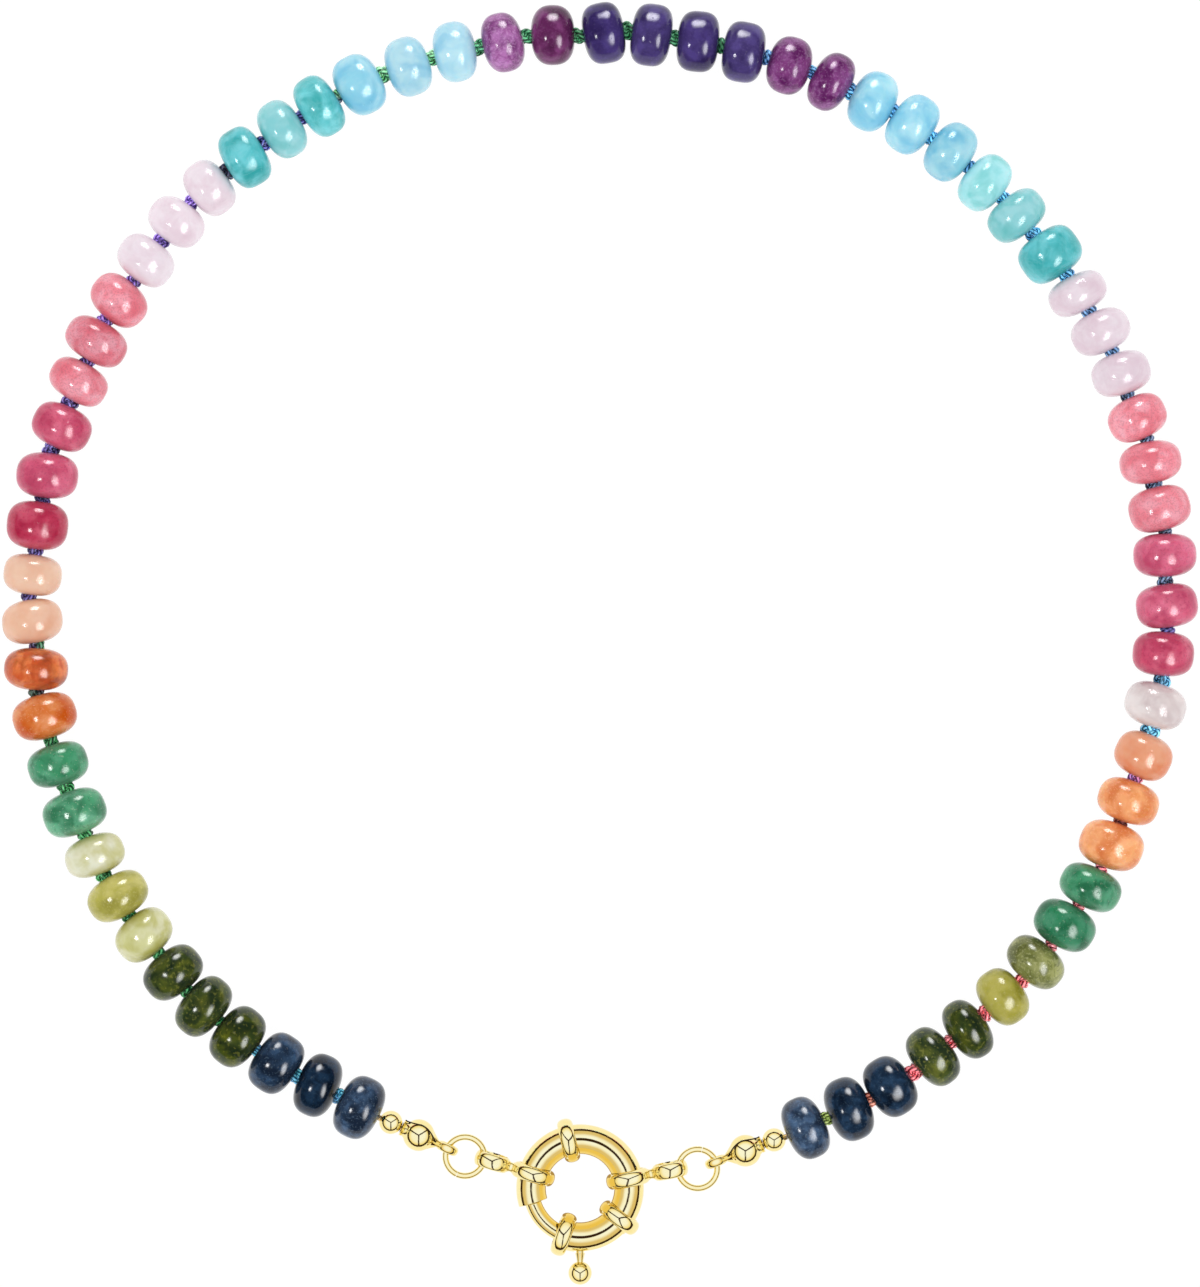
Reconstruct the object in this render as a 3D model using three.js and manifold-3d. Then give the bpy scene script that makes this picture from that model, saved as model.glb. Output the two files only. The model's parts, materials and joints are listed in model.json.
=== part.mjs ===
import * as THREE from 'three';
import { mergeVertices } from 'three/addons/utils/BufferGeometryUtils.js';
import Module from 'manifold-3d';

// A knotted necklace of rainbow stone rondelles with a gold spring ring clasp.
// It lies flat: +Z is up, +Y runs from the clasp to the far side of the loop.
// Lengths are millimetres and angles degrees.

const wasm = await Module();
wasm.setup();

// Stones and their thread
const beadDiameter = 8;
const beadThickness = 5.6;
const knotLength = 0.6;
const knotRadius = 0.8;
const threadRadius = 0.4;
const endKnotRadius = 1.2;
const beadSides = 10;

// Clasp ring: a bent pipe with an open mouth
const ringRadius = 6.3;
const tubeRadius = 1.9;
const tubeWall = 0.4;
const tubeSides = 12;
const tubeSteps = 28;
const tubeStartAngle = -116;
const tubeMouthAngle = 197;
const boreOverrunAngle = 2;

// Bands round the pipe
const bandWall = 0.75;
const bandWidth = 2;
const bandClearance = 0.2;
const bandSides = 16;
const bandAngles = { collar_top: 103.5, collar_lower_right: 323, collar_lower_left: 250.3 };

// Bolt inside the pipe, with its thumb knob
const tongueRadius = 1.05;
const tongueTipRadius = 0.7;
const tongueTaperAngle = 4;
const plungerClearance = 0.3;
const plungerShoulderAngle = 2;
const tongueTipAngle = 194;
const plungerStartAngle = 252;
const plungerEndAngle = 288;
const stemAngle = 270;
const stemRadius = 0.5;
const stemFlareRadius = 0.8;
const stemFlareLength = 0.6;
const knobRadius = 1.5;
const knobReach = 4.6;
const boltTravel = 38;
const slotClearance = 0.25;
const boltSides = 8;

// End links, jump rings, bead tips and end balls
const linkWall = 0.5;
const linkLoopRadius = 2.3;
const linkWaist = 0.35;
const linkWaistThickness = 1.2;
const linkSides = 12;
const jumpRingRadius = 2.5;
const jumpWireRadius = 0.41;
const jumpSides = 16;
const wireSides = 6;
const linkClearance = 0.35;
const tipLoopWireRadius = 0.35;
const tipRadius = 2.05;
const tipWall = 0.35;
const tipNeckRadius = 1;
const tipShank = 0.9;
const tipShankFootRadius = 0.52;
const tipSides = 12;
const endBallRadius = 1.5;
const threadClearance = 0.3;
const seatClearance = 0.2;
const stringEndGap = 0.3;

// Direction of each link of the two arms that hold the string to the clasp
const arms = {
  left: { link: 163, jump: 170, tip: 155 },
  right: { link: 11.3, jump: 2.8, tip: 21 },
};

// The stones from the clasp's left arm round to its right arm. Width and
// thickness are shares of the stone sizes above, swing is the turn of the
// stone off the thread's line, and knot is the share of knotLength after it.
const beadChart = [
  { stone: 'navy', width: 1.03, thickness: 1.0, swing: 4, knot: 0.9 },
  { stone: 'navy', width: 1.04, thickness: 0.96, swing: 4, knot: 0.8 },
  { stone: 'navy', width: 1.0, thickness: 1.02, swing: -4, knot: 0.4 },
  { stone: 'moss', width: 1.02, thickness: 1.04, swing: 1, knot: 0.3 },
  { stone: 'moss', width: 1.05, thickness: 0.98, swing: 5, knot: 0.5 },
  { stone: 'moss', width: 1.01, thickness: 1.02, swing: -1, knot: 0.5 },
  { stone: 'lemon', width: 0.98, thickness: 1.03, swing: 4, knot: 0.5 },
  { stone: 'olive', width: 1.03, thickness: 1.0, swing: -1, knot: 1.1 },
  { stone: 'cream', width: 0.99, thickness: 0.94, swing: -8, knot: 0.9 },
  { stone: 'aventurine', width: 1.03, thickness: 1.02, swing: -2, knot: 1.5 },
  { stone: 'aventurine', width: 0.99, thickness: 0.98, swing: 0, knot: 1.2 },
  { stone: 'orange', width: 1.04, thickness: 1.05, swing: 4, knot: 0.8 },
  { stone: 'carnelian', width: 1.03, thickness: 0.98, swing: -11, knot: 0.9 },
  { stone: 'peach', width: 0.98, thickness: 1.02, swing: 7, knot: 0.8 },
  { stone: 'peach', width: 0.95, thickness: 0.96, swing: -5, knot: 0.8 },
  { stone: 'raspberry', width: 1.0, thickness: 1.12, swing: 2, knot: 0.8 },
  { stone: 'raspberry', width: 1.0, thickness: 1.05, swing: 8, knot: 1.3 },
  { stone: 'raspberry', width: 0.97, thickness: 1.01, swing: -7, knot: 1.2 },
  { stone: 'salmon', width: 0.97, thickness: 0.92, swing: -8, knot: 0.6 },
  { stone: 'salmon', width: 1.03, thickness: 0.97, swing: -4, knot: 0.6 },
  { stone: 'salmon', width: 0.98, thickness: 1.03, swing: -12, knot: 0.8 },
  { stone: 'rose', width: 0.96, thickness: 1.02, swing: 0, knot: 1.1 },
  { stone: 'rose', width: 0.95, thickness: 1.0, swing: 5, knot: 1.0 },
  { stone: 'rose', width: 0.94, thickness: 0.96, swing: -6, knot: 1.0 },
  { stone: 'teal', width: 1.01, thickness: 0.96, swing: -9, knot: 1.0 },
  { stone: 'aqua', width: 0.98, thickness: 0.96, swing: -3, knot: 0.6 },
  { stone: 'teal', width: 1.03, thickness: 0.93, swing: 2, knot: 0.5 },
  { stone: 'sky', width: 1.01, thickness: 1.05, swing: 4, knot: 1.5 },
  { stone: 'pale_sky', width: 0.98, thickness: 1.02, swing: 0, knot: 1.1 },
  { stone: 'pale_sky', width: 0.98, thickness: 0.98, swing: -3, knot: 1.4 },
  { stone: 'orchid', width: 0.97, thickness: 0.95, swing: 3, knot: 1.7 },
  { stone: 'plum', width: 0.98, thickness: 1.02, swing: -3, knot: 1.6 },
  { stone: 'indigo', width: 1.0, thickness: 0.95, swing: 10, knot: 1.4 },
  { stone: 'indigo', width: 1.01, thickness: 0.94, swing: -3, knot: 1.2 },
  { stone: 'indigo', width: 0.98, thickness: 0.96, swing: 5, knot: 1.0 },
  { stone: 'indigo', width: 0.99, thickness: 0.98, swing: 6, knot: 0.8 },
  { stone: 'orchid', width: 0.95, thickness: 1.01, swing: 3, knot: 0.7 },
  { stone: 'orchid', width: 0.97, thickness: 0.91, swing: -6, knot: 0.7 },
  { stone: 'sky', width: 0.99, thickness: 1.03, swing: 1, knot: 0.3 },
  { stone: 'sky', width: 1.0, thickness: 1.02, swing: -2, knot: 0.5 },
  { stone: 'sky', width: 1.01, thickness: 1.02, swing: 3, knot: 0.6 },
  { stone: 'aqua', width: 0.97, thickness: 0.97, swing: 4, knot: 0.7 },
  { stone: 'aqua', width: 1.0, thickness: 0.97, swing: -5, knot: 1.3 },
  { stone: 'teal', width: 1.02, thickness: 1.1, swing: -3, knot: 1.0 },
  { stone: 'rose', width: 0.98, thickness: 0.88, swing: -7, knot: 0.9 },
  { stone: 'rose', width: 0.98, thickness: 0.98, swing: -3, knot: 0.7 },
  { stone: 'rose', width: 0.97, thickness: 0.99, swing: -5, knot: 0.8 },
  { stone: 'salmon', width: 0.97, thickness: 1.02, swing: 7, knot: 0.5 },
  { stone: 'salmon', width: 1.02, thickness: 0.98, swing: -4, knot: 0.7 },
  { stone: 'salmon', width: 1.01, thickness: 1.03, swing: 6, knot: 0.5 },
  { stone: 'raspberry', width: 1.03, thickness: 1.01, swing: -2, knot: 1.3 },
  { stone: 'raspberry', width: 1.01, thickness: 1.03, swing: 9, knot: 0.7 },
  { stone: 'raspberry', width: 1.0, thickness: 1.05, swing: 2, knot: 1.3 },
  { stone: 'milk_rose', width: 1.0, thickness: 1.03, swing: -8, knot: 1.4 },
  { stone: 'peach', width: 0.94, thickness: 1.04, swing: -10, knot: 0.8 },
  { stone: 'orange', width: 1.01, thickness: 0.99, swing: 0, knot: 0.5 },
  { stone: 'orange', width: 1.05, thickness: 1.08, swing: 4, knot: 0.4 },
  { stone: 'aventurine', width: 1.03, thickness: 0.97, swing: 4, knot: 0.5 },
  { stone: 'aventurine', width: 1.03, thickness: 1.05, swing: 7, knot: 0.5 },
  { stone: 'sage', width: 1.0, thickness: 0.98, swing: 2, knot: 0.8 },
  { stone: 'olive', width: 0.97, thickness: 1.02, swing: -10, knot: 1.2 },
  { stone: 'moss', width: 1.03, thickness: 0.92, swing: -7, knot: 0.7 },
  { stone: 'moss', width: 1.01, thickness: 0.95, swing: 1, knot: 1.8 },
  { stone: 'navy', width: 1.01, thickness: 1.05, swing: 0, knot: 0.5 },
  { stone: 'navy', width: 1.05, thickness: 1.0, swing: -2, knot: 1.0 },
  { stone: 'navy', width: 1.03, thickness: 0.95, swing: -1, knot: 0 },
];
const leftBeadCount = 33;

const stoneColours = {
  navy: '#3c4e6c',
  moss: '#5c6b3c',
  lemon: '#cdcc95',
  olive: '#b2b15c',
  cream: '#dcdabd',
  aventurine: '#5a9e7a',
  orange: '#e08a5c',
  carnelian: '#c96641',
  peach: '#edbca0',
  raspberry: '#cc5478',
  salmon: '#e9929f',
  rose: '#ecdde4',
  teal: '#74cdce',
  aqua: '#a5dcdf',
  sky: '#96d8ee',
  pale_sky: '#b2deef',
  orchid: '#91599a',
  plum: '#64365f',
  indigo: '#564980',
  milk_rose: '#dacccd',
  sage: '#898f5d',
};

// Route of the string from the first stone to the last, seen from above, with
// the clasp's centre at 0, 0. Its two ends are the stones next to the end balls.
const routePoints = [
  [-43.6, 19.3], [-55.6, 32.2], [-64.6, 48], [-69.6, 66.4], [-69.5, 84.8], [-64.2, 103.4],
  [-55.6, 118.9], [-42.8, 132.2], [-28, 141.4], [-9.5, 146.9], [9.6, 147.7], [27.2, 143.6],
  [43, 136], [56.4, 124.1], [67, 109.1], [73.2, 92.4], [75.1, 74], [71.9, 54.8],
  [64.9, 38], [53.5, 24], [38.9, 12.6],
];

// Outline of half a stone, from the thread hole to the rim: the share of half
// its thickness along the hole, and the share of its radius across it.
const beadOutline = [
  { along: 0.88, across: 0.62 },
  { along: 0.56, across: 0.92 },
  { along: 0.2, across: 1 },
];
const holeFaceAlong = 0.97;

// Outline of a band round a pipe or link: the share of its wall outward and
// of its width along.
const bandOutline = [
  { outward: 0, along: -0.36 },
  { outward: 0.5, along: -0.5 },
  { outward: 1, along: -0.3 },
  { outward: 1, along: 0.3 },
  { outward: 0.5, along: 0.5 },
  { outward: 0, along: 0.36 },
];

// Sizes that follow from the ones above
const boreRadius = tubeRadius - tubeWall;
const bandInnerRadius = tubeRadius + bandClearance;
const bandOuterRadius = bandInnerRadius + bandWall;
const plungerRadius = boreRadius - plungerClearance;
const linkReach = bandOuterRadius + linkWaist + linkLoopRadius;
const linkLoopInnerRadius = linkLoopRadius - linkWall;
const jumpReach = linkLoopInnerRadius - jumpWireRadius - linkClearance + jumpRingRadius;
const tipLoopRadius = jumpWireRadius + linkClearance + tipLoopWireRadius;
const tipReach = tipLoopRadius + tipShank + tipRadius;
const threadHoleRadius = threadRadius + threadClearance;
const tipNeckReach = tipRadius + seatClearance;
const ballReach = tipNeckReach + seatClearance + endBallRadius;
const claspHeight = bandOuterRadius * Math.cos(Math.PI / bandSides);
const up = new THREE.Vector3(0, 0, 1);

const radians = THREE.MathUtils.degToRad;

function direction(angle) {
  return new THREE.Vector3(Math.cos(radians(angle)), Math.sin(radians(angle)), 0);
}

// Shared corners become one, and triangles that shrink to a line at a pole go
function closedGeometry(geometry) {
  const plain = new THREE.BufferGeometry();
  plain.setAttribute('position', geometry.getAttribute('position').clone());
  if (geometry.index) plain.setIndex(geometry.index.clone());
  const merged = mergeVertices(plain, 1e-4);
  const kept = [];
  for (let i = 0; i < merged.index.count; i += 3) {
    const [a, b, c] = [0, 1, 2].map((k) => merged.index.getX(i + k));
    if (a !== b && b !== c && c !== a) kept.push(a, b, c);
  }
  merged.setIndex(kept);
  return merged;
}

function toSolid(geometry) {
  const closed = closedGeometry(geometry);
  const vertProperties = new Float32Array(closed.getAttribute('position').array);
  const triVerts = new Uint32Array(closed.index.array);
  return new wasm.Manifold(new wasm.Mesh({ numProp: 3, vertProperties, triVerts }));
}

function toGeometry(solid) {
  const { vertProperties, triVerts } = solid.getMesh();
  const geometry = new THREE.BufferGeometry();
  geometry.setAttribute('position', new THREE.BufferAttribute(vertProperties, 3));
  geometry.setIndex(new THREE.BufferAttribute(triVerts, 1));
  return geometry;
}

// A ring of corners round an axis that lies level, with a flat side downward
function levelRing(centre, axis, radius, sides) {
  const side = new THREE.Vector3().crossVectors(up, axis);
  const points = [];
  for (let k = 0; k < sides; k += 1) {
    const angle = -Math.PI / 2 + ((k + 0.5) * 2 * Math.PI) / sides;
    points.push(
      centre
        .clone()
        .addScaledVector(side, radius * Math.cos(angle))
        .addScaledVector(up, radius * Math.sin(angle)),
    );
  }
  return points;
}

// A closed skin over rings of equal corner count, with a flat cap at each end
function loft(rings) {
  const sides = rings[0].length;
  const corners = rings.flat();
  const index = [];
  for (let i = 0; i + 1 < rings.length; i += 1) {
    for (let k = 0; k < sides; k += 1) {
      const next = (k + 1) % sides;
      const [a, b] = [i * sides + k, i * sides + next];
      const [c, d] = [b + sides, a + sides];
      index.push(a, b, c, a, c, d);
    }
  }
  const last = (rings.length - 1) * sides;
  for (let k = 1; k + 1 < sides; k += 1) {
    index.push(0, k + 1, k, last, last + k, last + k + 1);
  }
  const geometry = new THREE.BufferGeometry().setFromPoints(corners);
  geometry.setIndex(index);
  return geometry;
}

// Rings along an arc of the clasp from one angle to another, counter-clockwise
function arcRings(stations, sides) {
  return stations.map(({ angle, radius }) =>
    levelRing(direction(angle).multiplyScalar(ringRadius), direction(angle + 90), radius, sides),
  );
}

function evenStations(from, to, steps, radius) {
  return Array.from({ length: steps + 1 }, (_, i) => ({
    angle: THREE.MathUtils.lerp(from, to, i / steps),
    radius,
  }));
}

// Turned shape: each point is a radius and a place along the axis
function turned(points, sides) {
  const profile = points.map(([radius, along]) => new THREE.Vector2(radius, along));
  return new THREE.LatheGeometry(profile, sides, Math.PI / sides);
}

// Points of a round profile between two angles off the axis' back end
function roundProfile(radius, from, to, steps, along = 0) {
  return Array.from({ length: steps + 1 }, (_, i) => {
    const angle = THREE.MathUtils.lerp(from, to, i / steps);
    return [radius * Math.sin(angle), along - radius * Math.cos(angle)];
  });
}

function band(innerRadius, wall, width, sides) {
  const points = bandOutline.map(({ outward, along }) => [
    innerRadius + wall * outward,
    width * along,
  ]);
  return turned([...points, points[0]], sides);
}

const gold = { color: '#e3bd5a', roughness: 0.16, metalness: 1 };

function goldMesh(name, geometry) {
  const mesh = new THREE.Mesh(geometry, new THREE.MeshStandardMaterial(gold));
  mesh.name = name;
  return mesh;
}

// The pipe, with a slot along its outside for the stem to run in
function claspTube() {
  const outer = loft(
    arcRings(evenStations(tubeStartAngle, tubeMouthAngle, tubeSteps, tubeRadius), tubeSides),
  );
  const from = tubeStartAngle - boreOverrunAngle;
  const to = tubeMouthAngle + boreOverrunAngle;
  const bore = loft(arcRings(evenStations(from, to, tubeSteps, boreRadius), tubeSides));
  return goldMesh('clasp_tube', toGeometry(toSolid(outer).subtract(toSolid(bore)).subtract(slot())));
}

function slot() {
  const halfWidth = stemRadius + slotClearance;
  const margin = THREE.MathUtils.radToDeg(halfWidth / (ringRadius + boreRadius));
  const from = stemAngle - margin - 360;
  const to = stemAngle + boltTravel + margin - 360;
  const rings = evenStations(from, to, 4, 0).map(({ angle }) => {
    const outward = direction(angle);
    const corner = (reach, height) =>
      outward.clone().multiplyScalar(reach).addScaledVector(up, height);
    const far = ringRadius + tubeRadius + tubeWall;
    return [
      corner(ringRadius, -halfWidth),
      corner(ringRadius, halfWidth),
      corner(far, halfWidth),
      corner(far, -halfWidth),
    ];
  });
  return toSolid(loft(rings));
}

// Tongue, plunger, stem and knob are one piece
function claspBolt() {
  const stations = [
    { angle: tongueTipAngle, radius: tongueTipRadius },
    ...evenStations(tongueTipAngle + tongueTaperAngle, plungerStartAngle, 6, tongueRadius),
    ...evenStations(plungerStartAngle + plungerShoulderAngle, plungerEndAngle, 4, plungerRadius),
  ];
  const rod = loft(arcRings(stations, boltSides));
  const flareStart = tubeRadius + seatClearance;
  const neckAngle = Math.asin(stemRadius / knobRadius);
  const thumbPiece = turned(
    [
      [0, 0],
      [stemRadius, 0],
      [stemRadius, flareStart],
      [stemFlareRadius, flareStart],
      [stemRadius, flareStart + stemFlareLength],
      ...roundProfile(knobRadius, neckAngle, Math.PI, 5, knobReach),
    ],
    boltSides + 2,
  );
  thumbPiece.rotateZ(radians(stemAngle - 90));
  const foot = direction(stemAngle).multiplyScalar(ringRadius);
  thumbPiece.translate(foot.x, foot.y, foot.z);
  return goldMesh('clasp_bolt', toGeometry(toSolid(rod).add(toSolid(thumbPiece))));
}

function collar(name, angle) {
  const mesh = goldMesh(name, band(bandInnerRadius, bandWall, bandWidth, bandSides));
  mesh.rotation.z = radians(angle);
  mesh.position.copy(direction(angle)).multiplyScalar(ringRadius);
  return mesh;
}

// A band round the pipe and a smaller one for the jump ring, soldered together
function endLink(name, angle) {
  const big = toSolid(band(bandInnerRadius, bandWall, bandWidth, bandSides));
  const smallBand = band(linkLoopInnerRadius, linkWall, bandWidth, linkSides);
  smallBand.translate(linkReach, 0, 0);
  const waistStart = bandOuterRadius - bandWall / 2;
  const waistEnd = linkReach - linkLoopRadius + linkWall / 2;
  const waist = new THREE.BoxGeometry(
    waistEnd - waistStart,
    linkWaistThickness,
    linkWaistThickness,
  );
  waist.translate((waistStart + waistEnd) / 2, 0, 0);
  const mesh = goldMesh(name, toGeometry(big.add(toSolid(smallBand)).add(toSolid(waist))));
  mesh.rotation.z = radians(angle);
  mesh.position.copy(direction(angle)).multiplyScalar(ringRadius);
  return mesh;
}

function jumpRing(name) {
  return goldMesh(
    name,
    closedGeometry(new THREE.TorusGeometry(jumpRingRadius, jumpWireRadius, wireSides, jumpSides)),
  );
}

// A hollow cup for the last knot, with a neck toward the stones and a loop
// behind. Its axis is X, with the stones on the +X side.
function beadTip(name) {
  const innerRadius = tipRadius - tipWall;
  const neckAngle = Math.PI - Math.asin(tipNeckRadius / tipRadius);
  const holeAngle = Math.PI - Math.asin(threadHoleRadius / innerRadius);
  const cup = turned(
    [
      ...roundProfile(tipRadius, 0, neckAngle, 6),
      [tipNeckRadius, tipNeckReach],
      [threadHoleRadius, tipNeckReach],
      ...roundProfile(innerRadius, holeAngle, 0, 5),
    ],
    tipSides,
  );
  cup.rotateZ(-Math.PI / 2);
  const loop = new THREE.TorusGeometry(tipLoopRadius, tipLoopWireRadius, wireSides, tipSides);
  loop.rotateX(Math.PI / 2);
  loop.translate(-tipReach, 0, 0);
  const shankStart = tipReach - tipLoopRadius;
  const shankEnd = tipRadius - tipWall / 2;
  const shank = new THREE.CylinderGeometry(
    tipLoopWireRadius,
    tipShankFootRadius,
    shankStart - shankEnd,
    wireSides,
  );
  shank.rotateZ(Math.PI / 2);
  shank.translate(-(shankStart + shankEnd) / 2, 0, 0);
  return goldMesh(name, toGeometry(toSolid(cup).add(toSolid(loop)).add(toSolid(shank))));
}

function endBall(name) {
  const holeAngle = Math.asin(threadHoleRadius / endBallRadius);
  const points = roundProfile(endBallRadius, holeAngle, Math.PI - holeAngle, 6);
  const ball = turned([...points, points[0]], tipSides);
  ball.rotateZ(-Math.PI / 2);
  return goldMesh(name, closedGeometry(ball));
}

function beadRadius(row) {
  return (beadDiameter * row.width) / 2;
}

function halfThickness(row) {
  return (beadThickness * row.thickness) / 2;
}

// Each stone lies with its flat side on the surface
function restHeight(row) {
  return beadRadius(row) * Math.cos(Math.PI / beadSides);
}

// Everything between the clasp and the first stone of one side. The pieces
// follow each other outward, and from the jump ring they climb to the stone.
function armLayout(arm, row) {
  const linkLoop = direction(arm.link).multiplyScalar(ringRadius + linkReach);
  const jump = linkLoop.clone().addScaledVector(direction(arm.jump), jumpReach);
  const tipLoop = jump.clone().addScaledVector(direction(arm.tip), jumpRingRadius);
  const run = tipReach + ballReach + endBallRadius + seatClearance + halfThickness(row);
  const rise = restHeight(row) - claspHeight;
  const climb = Math.asin(rise / run);
  const slope = direction(arm.tip).multiplyScalar(Math.cos(climb)).setZ(Math.sin(climb));
  const cup = tipLoop.clone().addScaledVector(slope, tipReach);
  const ball = cup.clone().addScaledVector(slope, ballReach);
  const stone = tipLoop.clone().addScaledVector(slope, run).setZ(0);
  return { jump, cup, ball, stone, climb };
}

function armMeshes(side, arm, layout) {
  const ring = jumpRing(`jump_ring_${side}`);
  ring.position.copy(layout.jump);
  const tip = beadTip(`bead_tip_${side}`);
  tip.position.copy(layout.cup);
  const ball = endBall(`end_ball_${side}`);
  ball.position.copy(layout.ball);
  for (const mesh of [tip, ball]) {
    mesh.rotation.set(0, -layout.climb, radians(arm.tip), 'ZYX');
  }
  return [endLink(`end_link_${side}`, arm.link), ring, tip, ball];
}

// Distance of each stone along the string from the first one
function stoneStations() {
  let run = 0;
  return beadChart.map((row, i) => {
    if (i > 0) {
      const before = beadChart[i - 1];
      run += halfThickness(before) + knotLength * before.knot + halfThickness(row);
    }
    return run;
  });
}

// The route is drawn larger or smaller until the stones just fill it
function fittedRoute(first, last, length) {
  const middle = first.clone().lerp(last, 0.5);
  const drawn = (scale) => {
    const inner = routePoints.map(([x, y]) =>
      new THREE.Vector3(x, y, 0).sub(middle).multiplyScalar(scale).add(middle),
    );
    const curve = new THREE.CatmullRomCurve3([first, ...inner, last]);
    curve.arcLengthDivisions = 1500;
    return curve;
  };
  let [low, high] = [0.3, 3];
  for (let i = 0; i < 30; i += 1) {
    const scale = (low + high) / 2;
    if (drawn(scale).getLength() < length) low = scale;
    else high = scale;
  }
  return drawn((low + high) / 2);
}

function placedStones(first, last) {
  const stations = stoneStations();
  const length = stations[stations.length - 1];
  const route = fittedRoute(first, last, length);
  return beadChart.map((row, i) => {
    const share = stations[i] / length;
    const centre = route.getPointAt(share).setZ(restHeight(row) - claspHeight);
    const axis = route.getTangentAt(share).applyAxisAngle(up, radians(row.swing));
    return { row, centre, axis };
  });
}

function stoneColour(row) {
  return new THREE.Color(stoneColours[row.stone]);
}

// Rings of one stone from its left face to its right face, with its colour
function stoneRings({ row, centre, axis }) {
  const face = { along: holeFaceAlong, across: knotRadius / beadRadius(row) };
  const half = [face, ...beadOutline];
  const outline = [...half.map(({ along, across }) => ({ along: -along, across })), ...half.reverse()];
  return outline.map(({ along, across }) => {
    const place = centre.clone().addScaledVector(axis, along * halfThickness(row));
    return {
      points: levelRing(place, axis, across * beadRadius(row), beadSides),
      colour: stoneColour(row),
    };
  });
}

// Thread between a stone and its cup, through the end ball, with the last knot
// inside the cup. Along is 1 where the string runs from cup to stone, or -1.
function threadEnd(layout, stone, along) {
  const toStone = stone.centre.clone().sub(layout.cup).normalize();
  const axis = toStone.clone().setZ(0).normalize().multiplyScalar(along);
  const reach = stone.centre.distanceTo(layout.cup) - halfThickness(stone.row) - knotLength / 2;
  const stations = [
    { place: -endKnotRadius / 2, radius: threadRadius },
    { place: 0, radius: endKnotRadius },
    { place: endKnotRadius / 2, radius: threadRadius },
    { place: reach, radius: threadRadius },
  ];
  const rings = stations.map(({ place, radius }) => ({
    points: levelRing(layout.cup.clone().addScaledVector(toStone, place), axis, radius, beadSides),
    colour: stoneColour(stone.row),
  }));
  return along > 0 ? rings : rings.reverse();
}

// The cut face of a half string, in the middle of the knot between two stones
function meetingRing(stone, other, along) {
  const outward = other.centre.clone().sub(stone.centre).setZ(0).normalize();
  const middle = stone.centre.clone().lerp(other.centre, 0.5);
  const place = middle.addScaledVector(outward, -stringEndGap / 2);
  const axis = outward.multiplyScalar(along);
  return {
    points: levelRing(place, axis, knotRadius, beadSides),
    colour: stoneColour(stone.row),
  };
}

function stringMesh(name, rings) {
  const geometry = loft(rings.map(({ points }) => points));
  const colours = rings.flatMap(({ points, colour }) => points.flatMap(() => colour.toArray()));
  geometry.setAttribute('color', new THREE.Float32BufferAttribute(colours, 3));
  const material = new THREE.MeshStandardMaterial({
    vertexColors: true,
    roughness: 0.25,
    metalness: 0,
  });
  const mesh = new THREE.Mesh(geometry, material);
  mesh.name = name;
  return mesh;
}

// Stones and knots of one half are one fused body. The left half runs from its
// cup to the far side, and the right half from the far side to its cup.
function stringHalves(layouts, stones) {
  const left = stones.slice(0, leftBeadCount);
  const right = stones.slice(leftBeadCount);
  const [lastLeft, firstRight] = [left[left.length - 1], right[0]];
  return [
    stringMesh('string_left', [
      ...threadEnd(layouts.left, left[0], 1),
      ...left.flatMap(stoneRings),
      meetingRing(lastLeft, firstRight, 1),
    ]),
    stringMesh('string_right', [
      meetingRing(firstRight, lastLeft, -1),
      ...right.flatMap(stoneRings),
      ...threadEnd(layouts.right, right[right.length - 1], -1),
    ]),
  ];
}

const layouts = {
  left: armLayout(arms.left, beadChart[0]),
  right: armLayout(arms.right, beadChart[beadChart.length - 1]),
};
const stones = placedStones(layouts.left.stone, layouts.right.stone);

const group = new THREE.Group();
group.add(...stringHalves(layouts, stones));
group.add(...armMeshes('left', arms.left, layouts.left));
group.add(...armMeshes('right', arms.right, layouts.right));
group.add(claspTube(), claspBolt());
for (const [name, angle] of Object.entries(bandAngles)) group.add(collar(name, angle));

// The origin is the middle of the necklace on the surface that it lies on
const box = new THREE.Box3().setFromObject(group);
const centre = box.getCenter(new THREE.Vector3());
group.position.set(-centre.x, -centre.y, -box.min.z);

export default group;
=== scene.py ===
import json
import math
import random

import bpy
import numpy as np
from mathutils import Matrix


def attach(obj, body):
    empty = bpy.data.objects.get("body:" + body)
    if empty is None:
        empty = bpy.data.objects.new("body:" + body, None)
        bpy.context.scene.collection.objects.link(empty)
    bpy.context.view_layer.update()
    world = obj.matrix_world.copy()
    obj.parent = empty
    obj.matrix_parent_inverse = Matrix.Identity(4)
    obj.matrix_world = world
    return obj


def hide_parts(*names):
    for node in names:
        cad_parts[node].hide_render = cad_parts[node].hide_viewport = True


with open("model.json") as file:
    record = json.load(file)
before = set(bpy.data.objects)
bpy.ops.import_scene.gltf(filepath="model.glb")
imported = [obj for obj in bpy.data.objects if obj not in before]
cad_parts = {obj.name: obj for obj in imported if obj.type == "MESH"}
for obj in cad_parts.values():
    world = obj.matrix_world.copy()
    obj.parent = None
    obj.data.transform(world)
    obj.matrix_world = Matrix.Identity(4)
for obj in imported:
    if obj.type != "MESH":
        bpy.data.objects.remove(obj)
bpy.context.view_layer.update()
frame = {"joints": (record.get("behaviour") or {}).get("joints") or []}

# A knotted necklace of rainbow rondelles with a gold spring ring clasp, lying flat.
# Sizes in the dictionaries are millimetres and degrees, and the scene is in metres.
mm = 0.001
claspCentre = np.array(frame["joints"][0]["pos_m"])
up = np.array([0.0, 0.0, 1.0])

shot = {"lens": 200, "sensor": 36, "imageHeight": 1287, "pixelsPerMm": 7.8, "planeHeight": 4}


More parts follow.
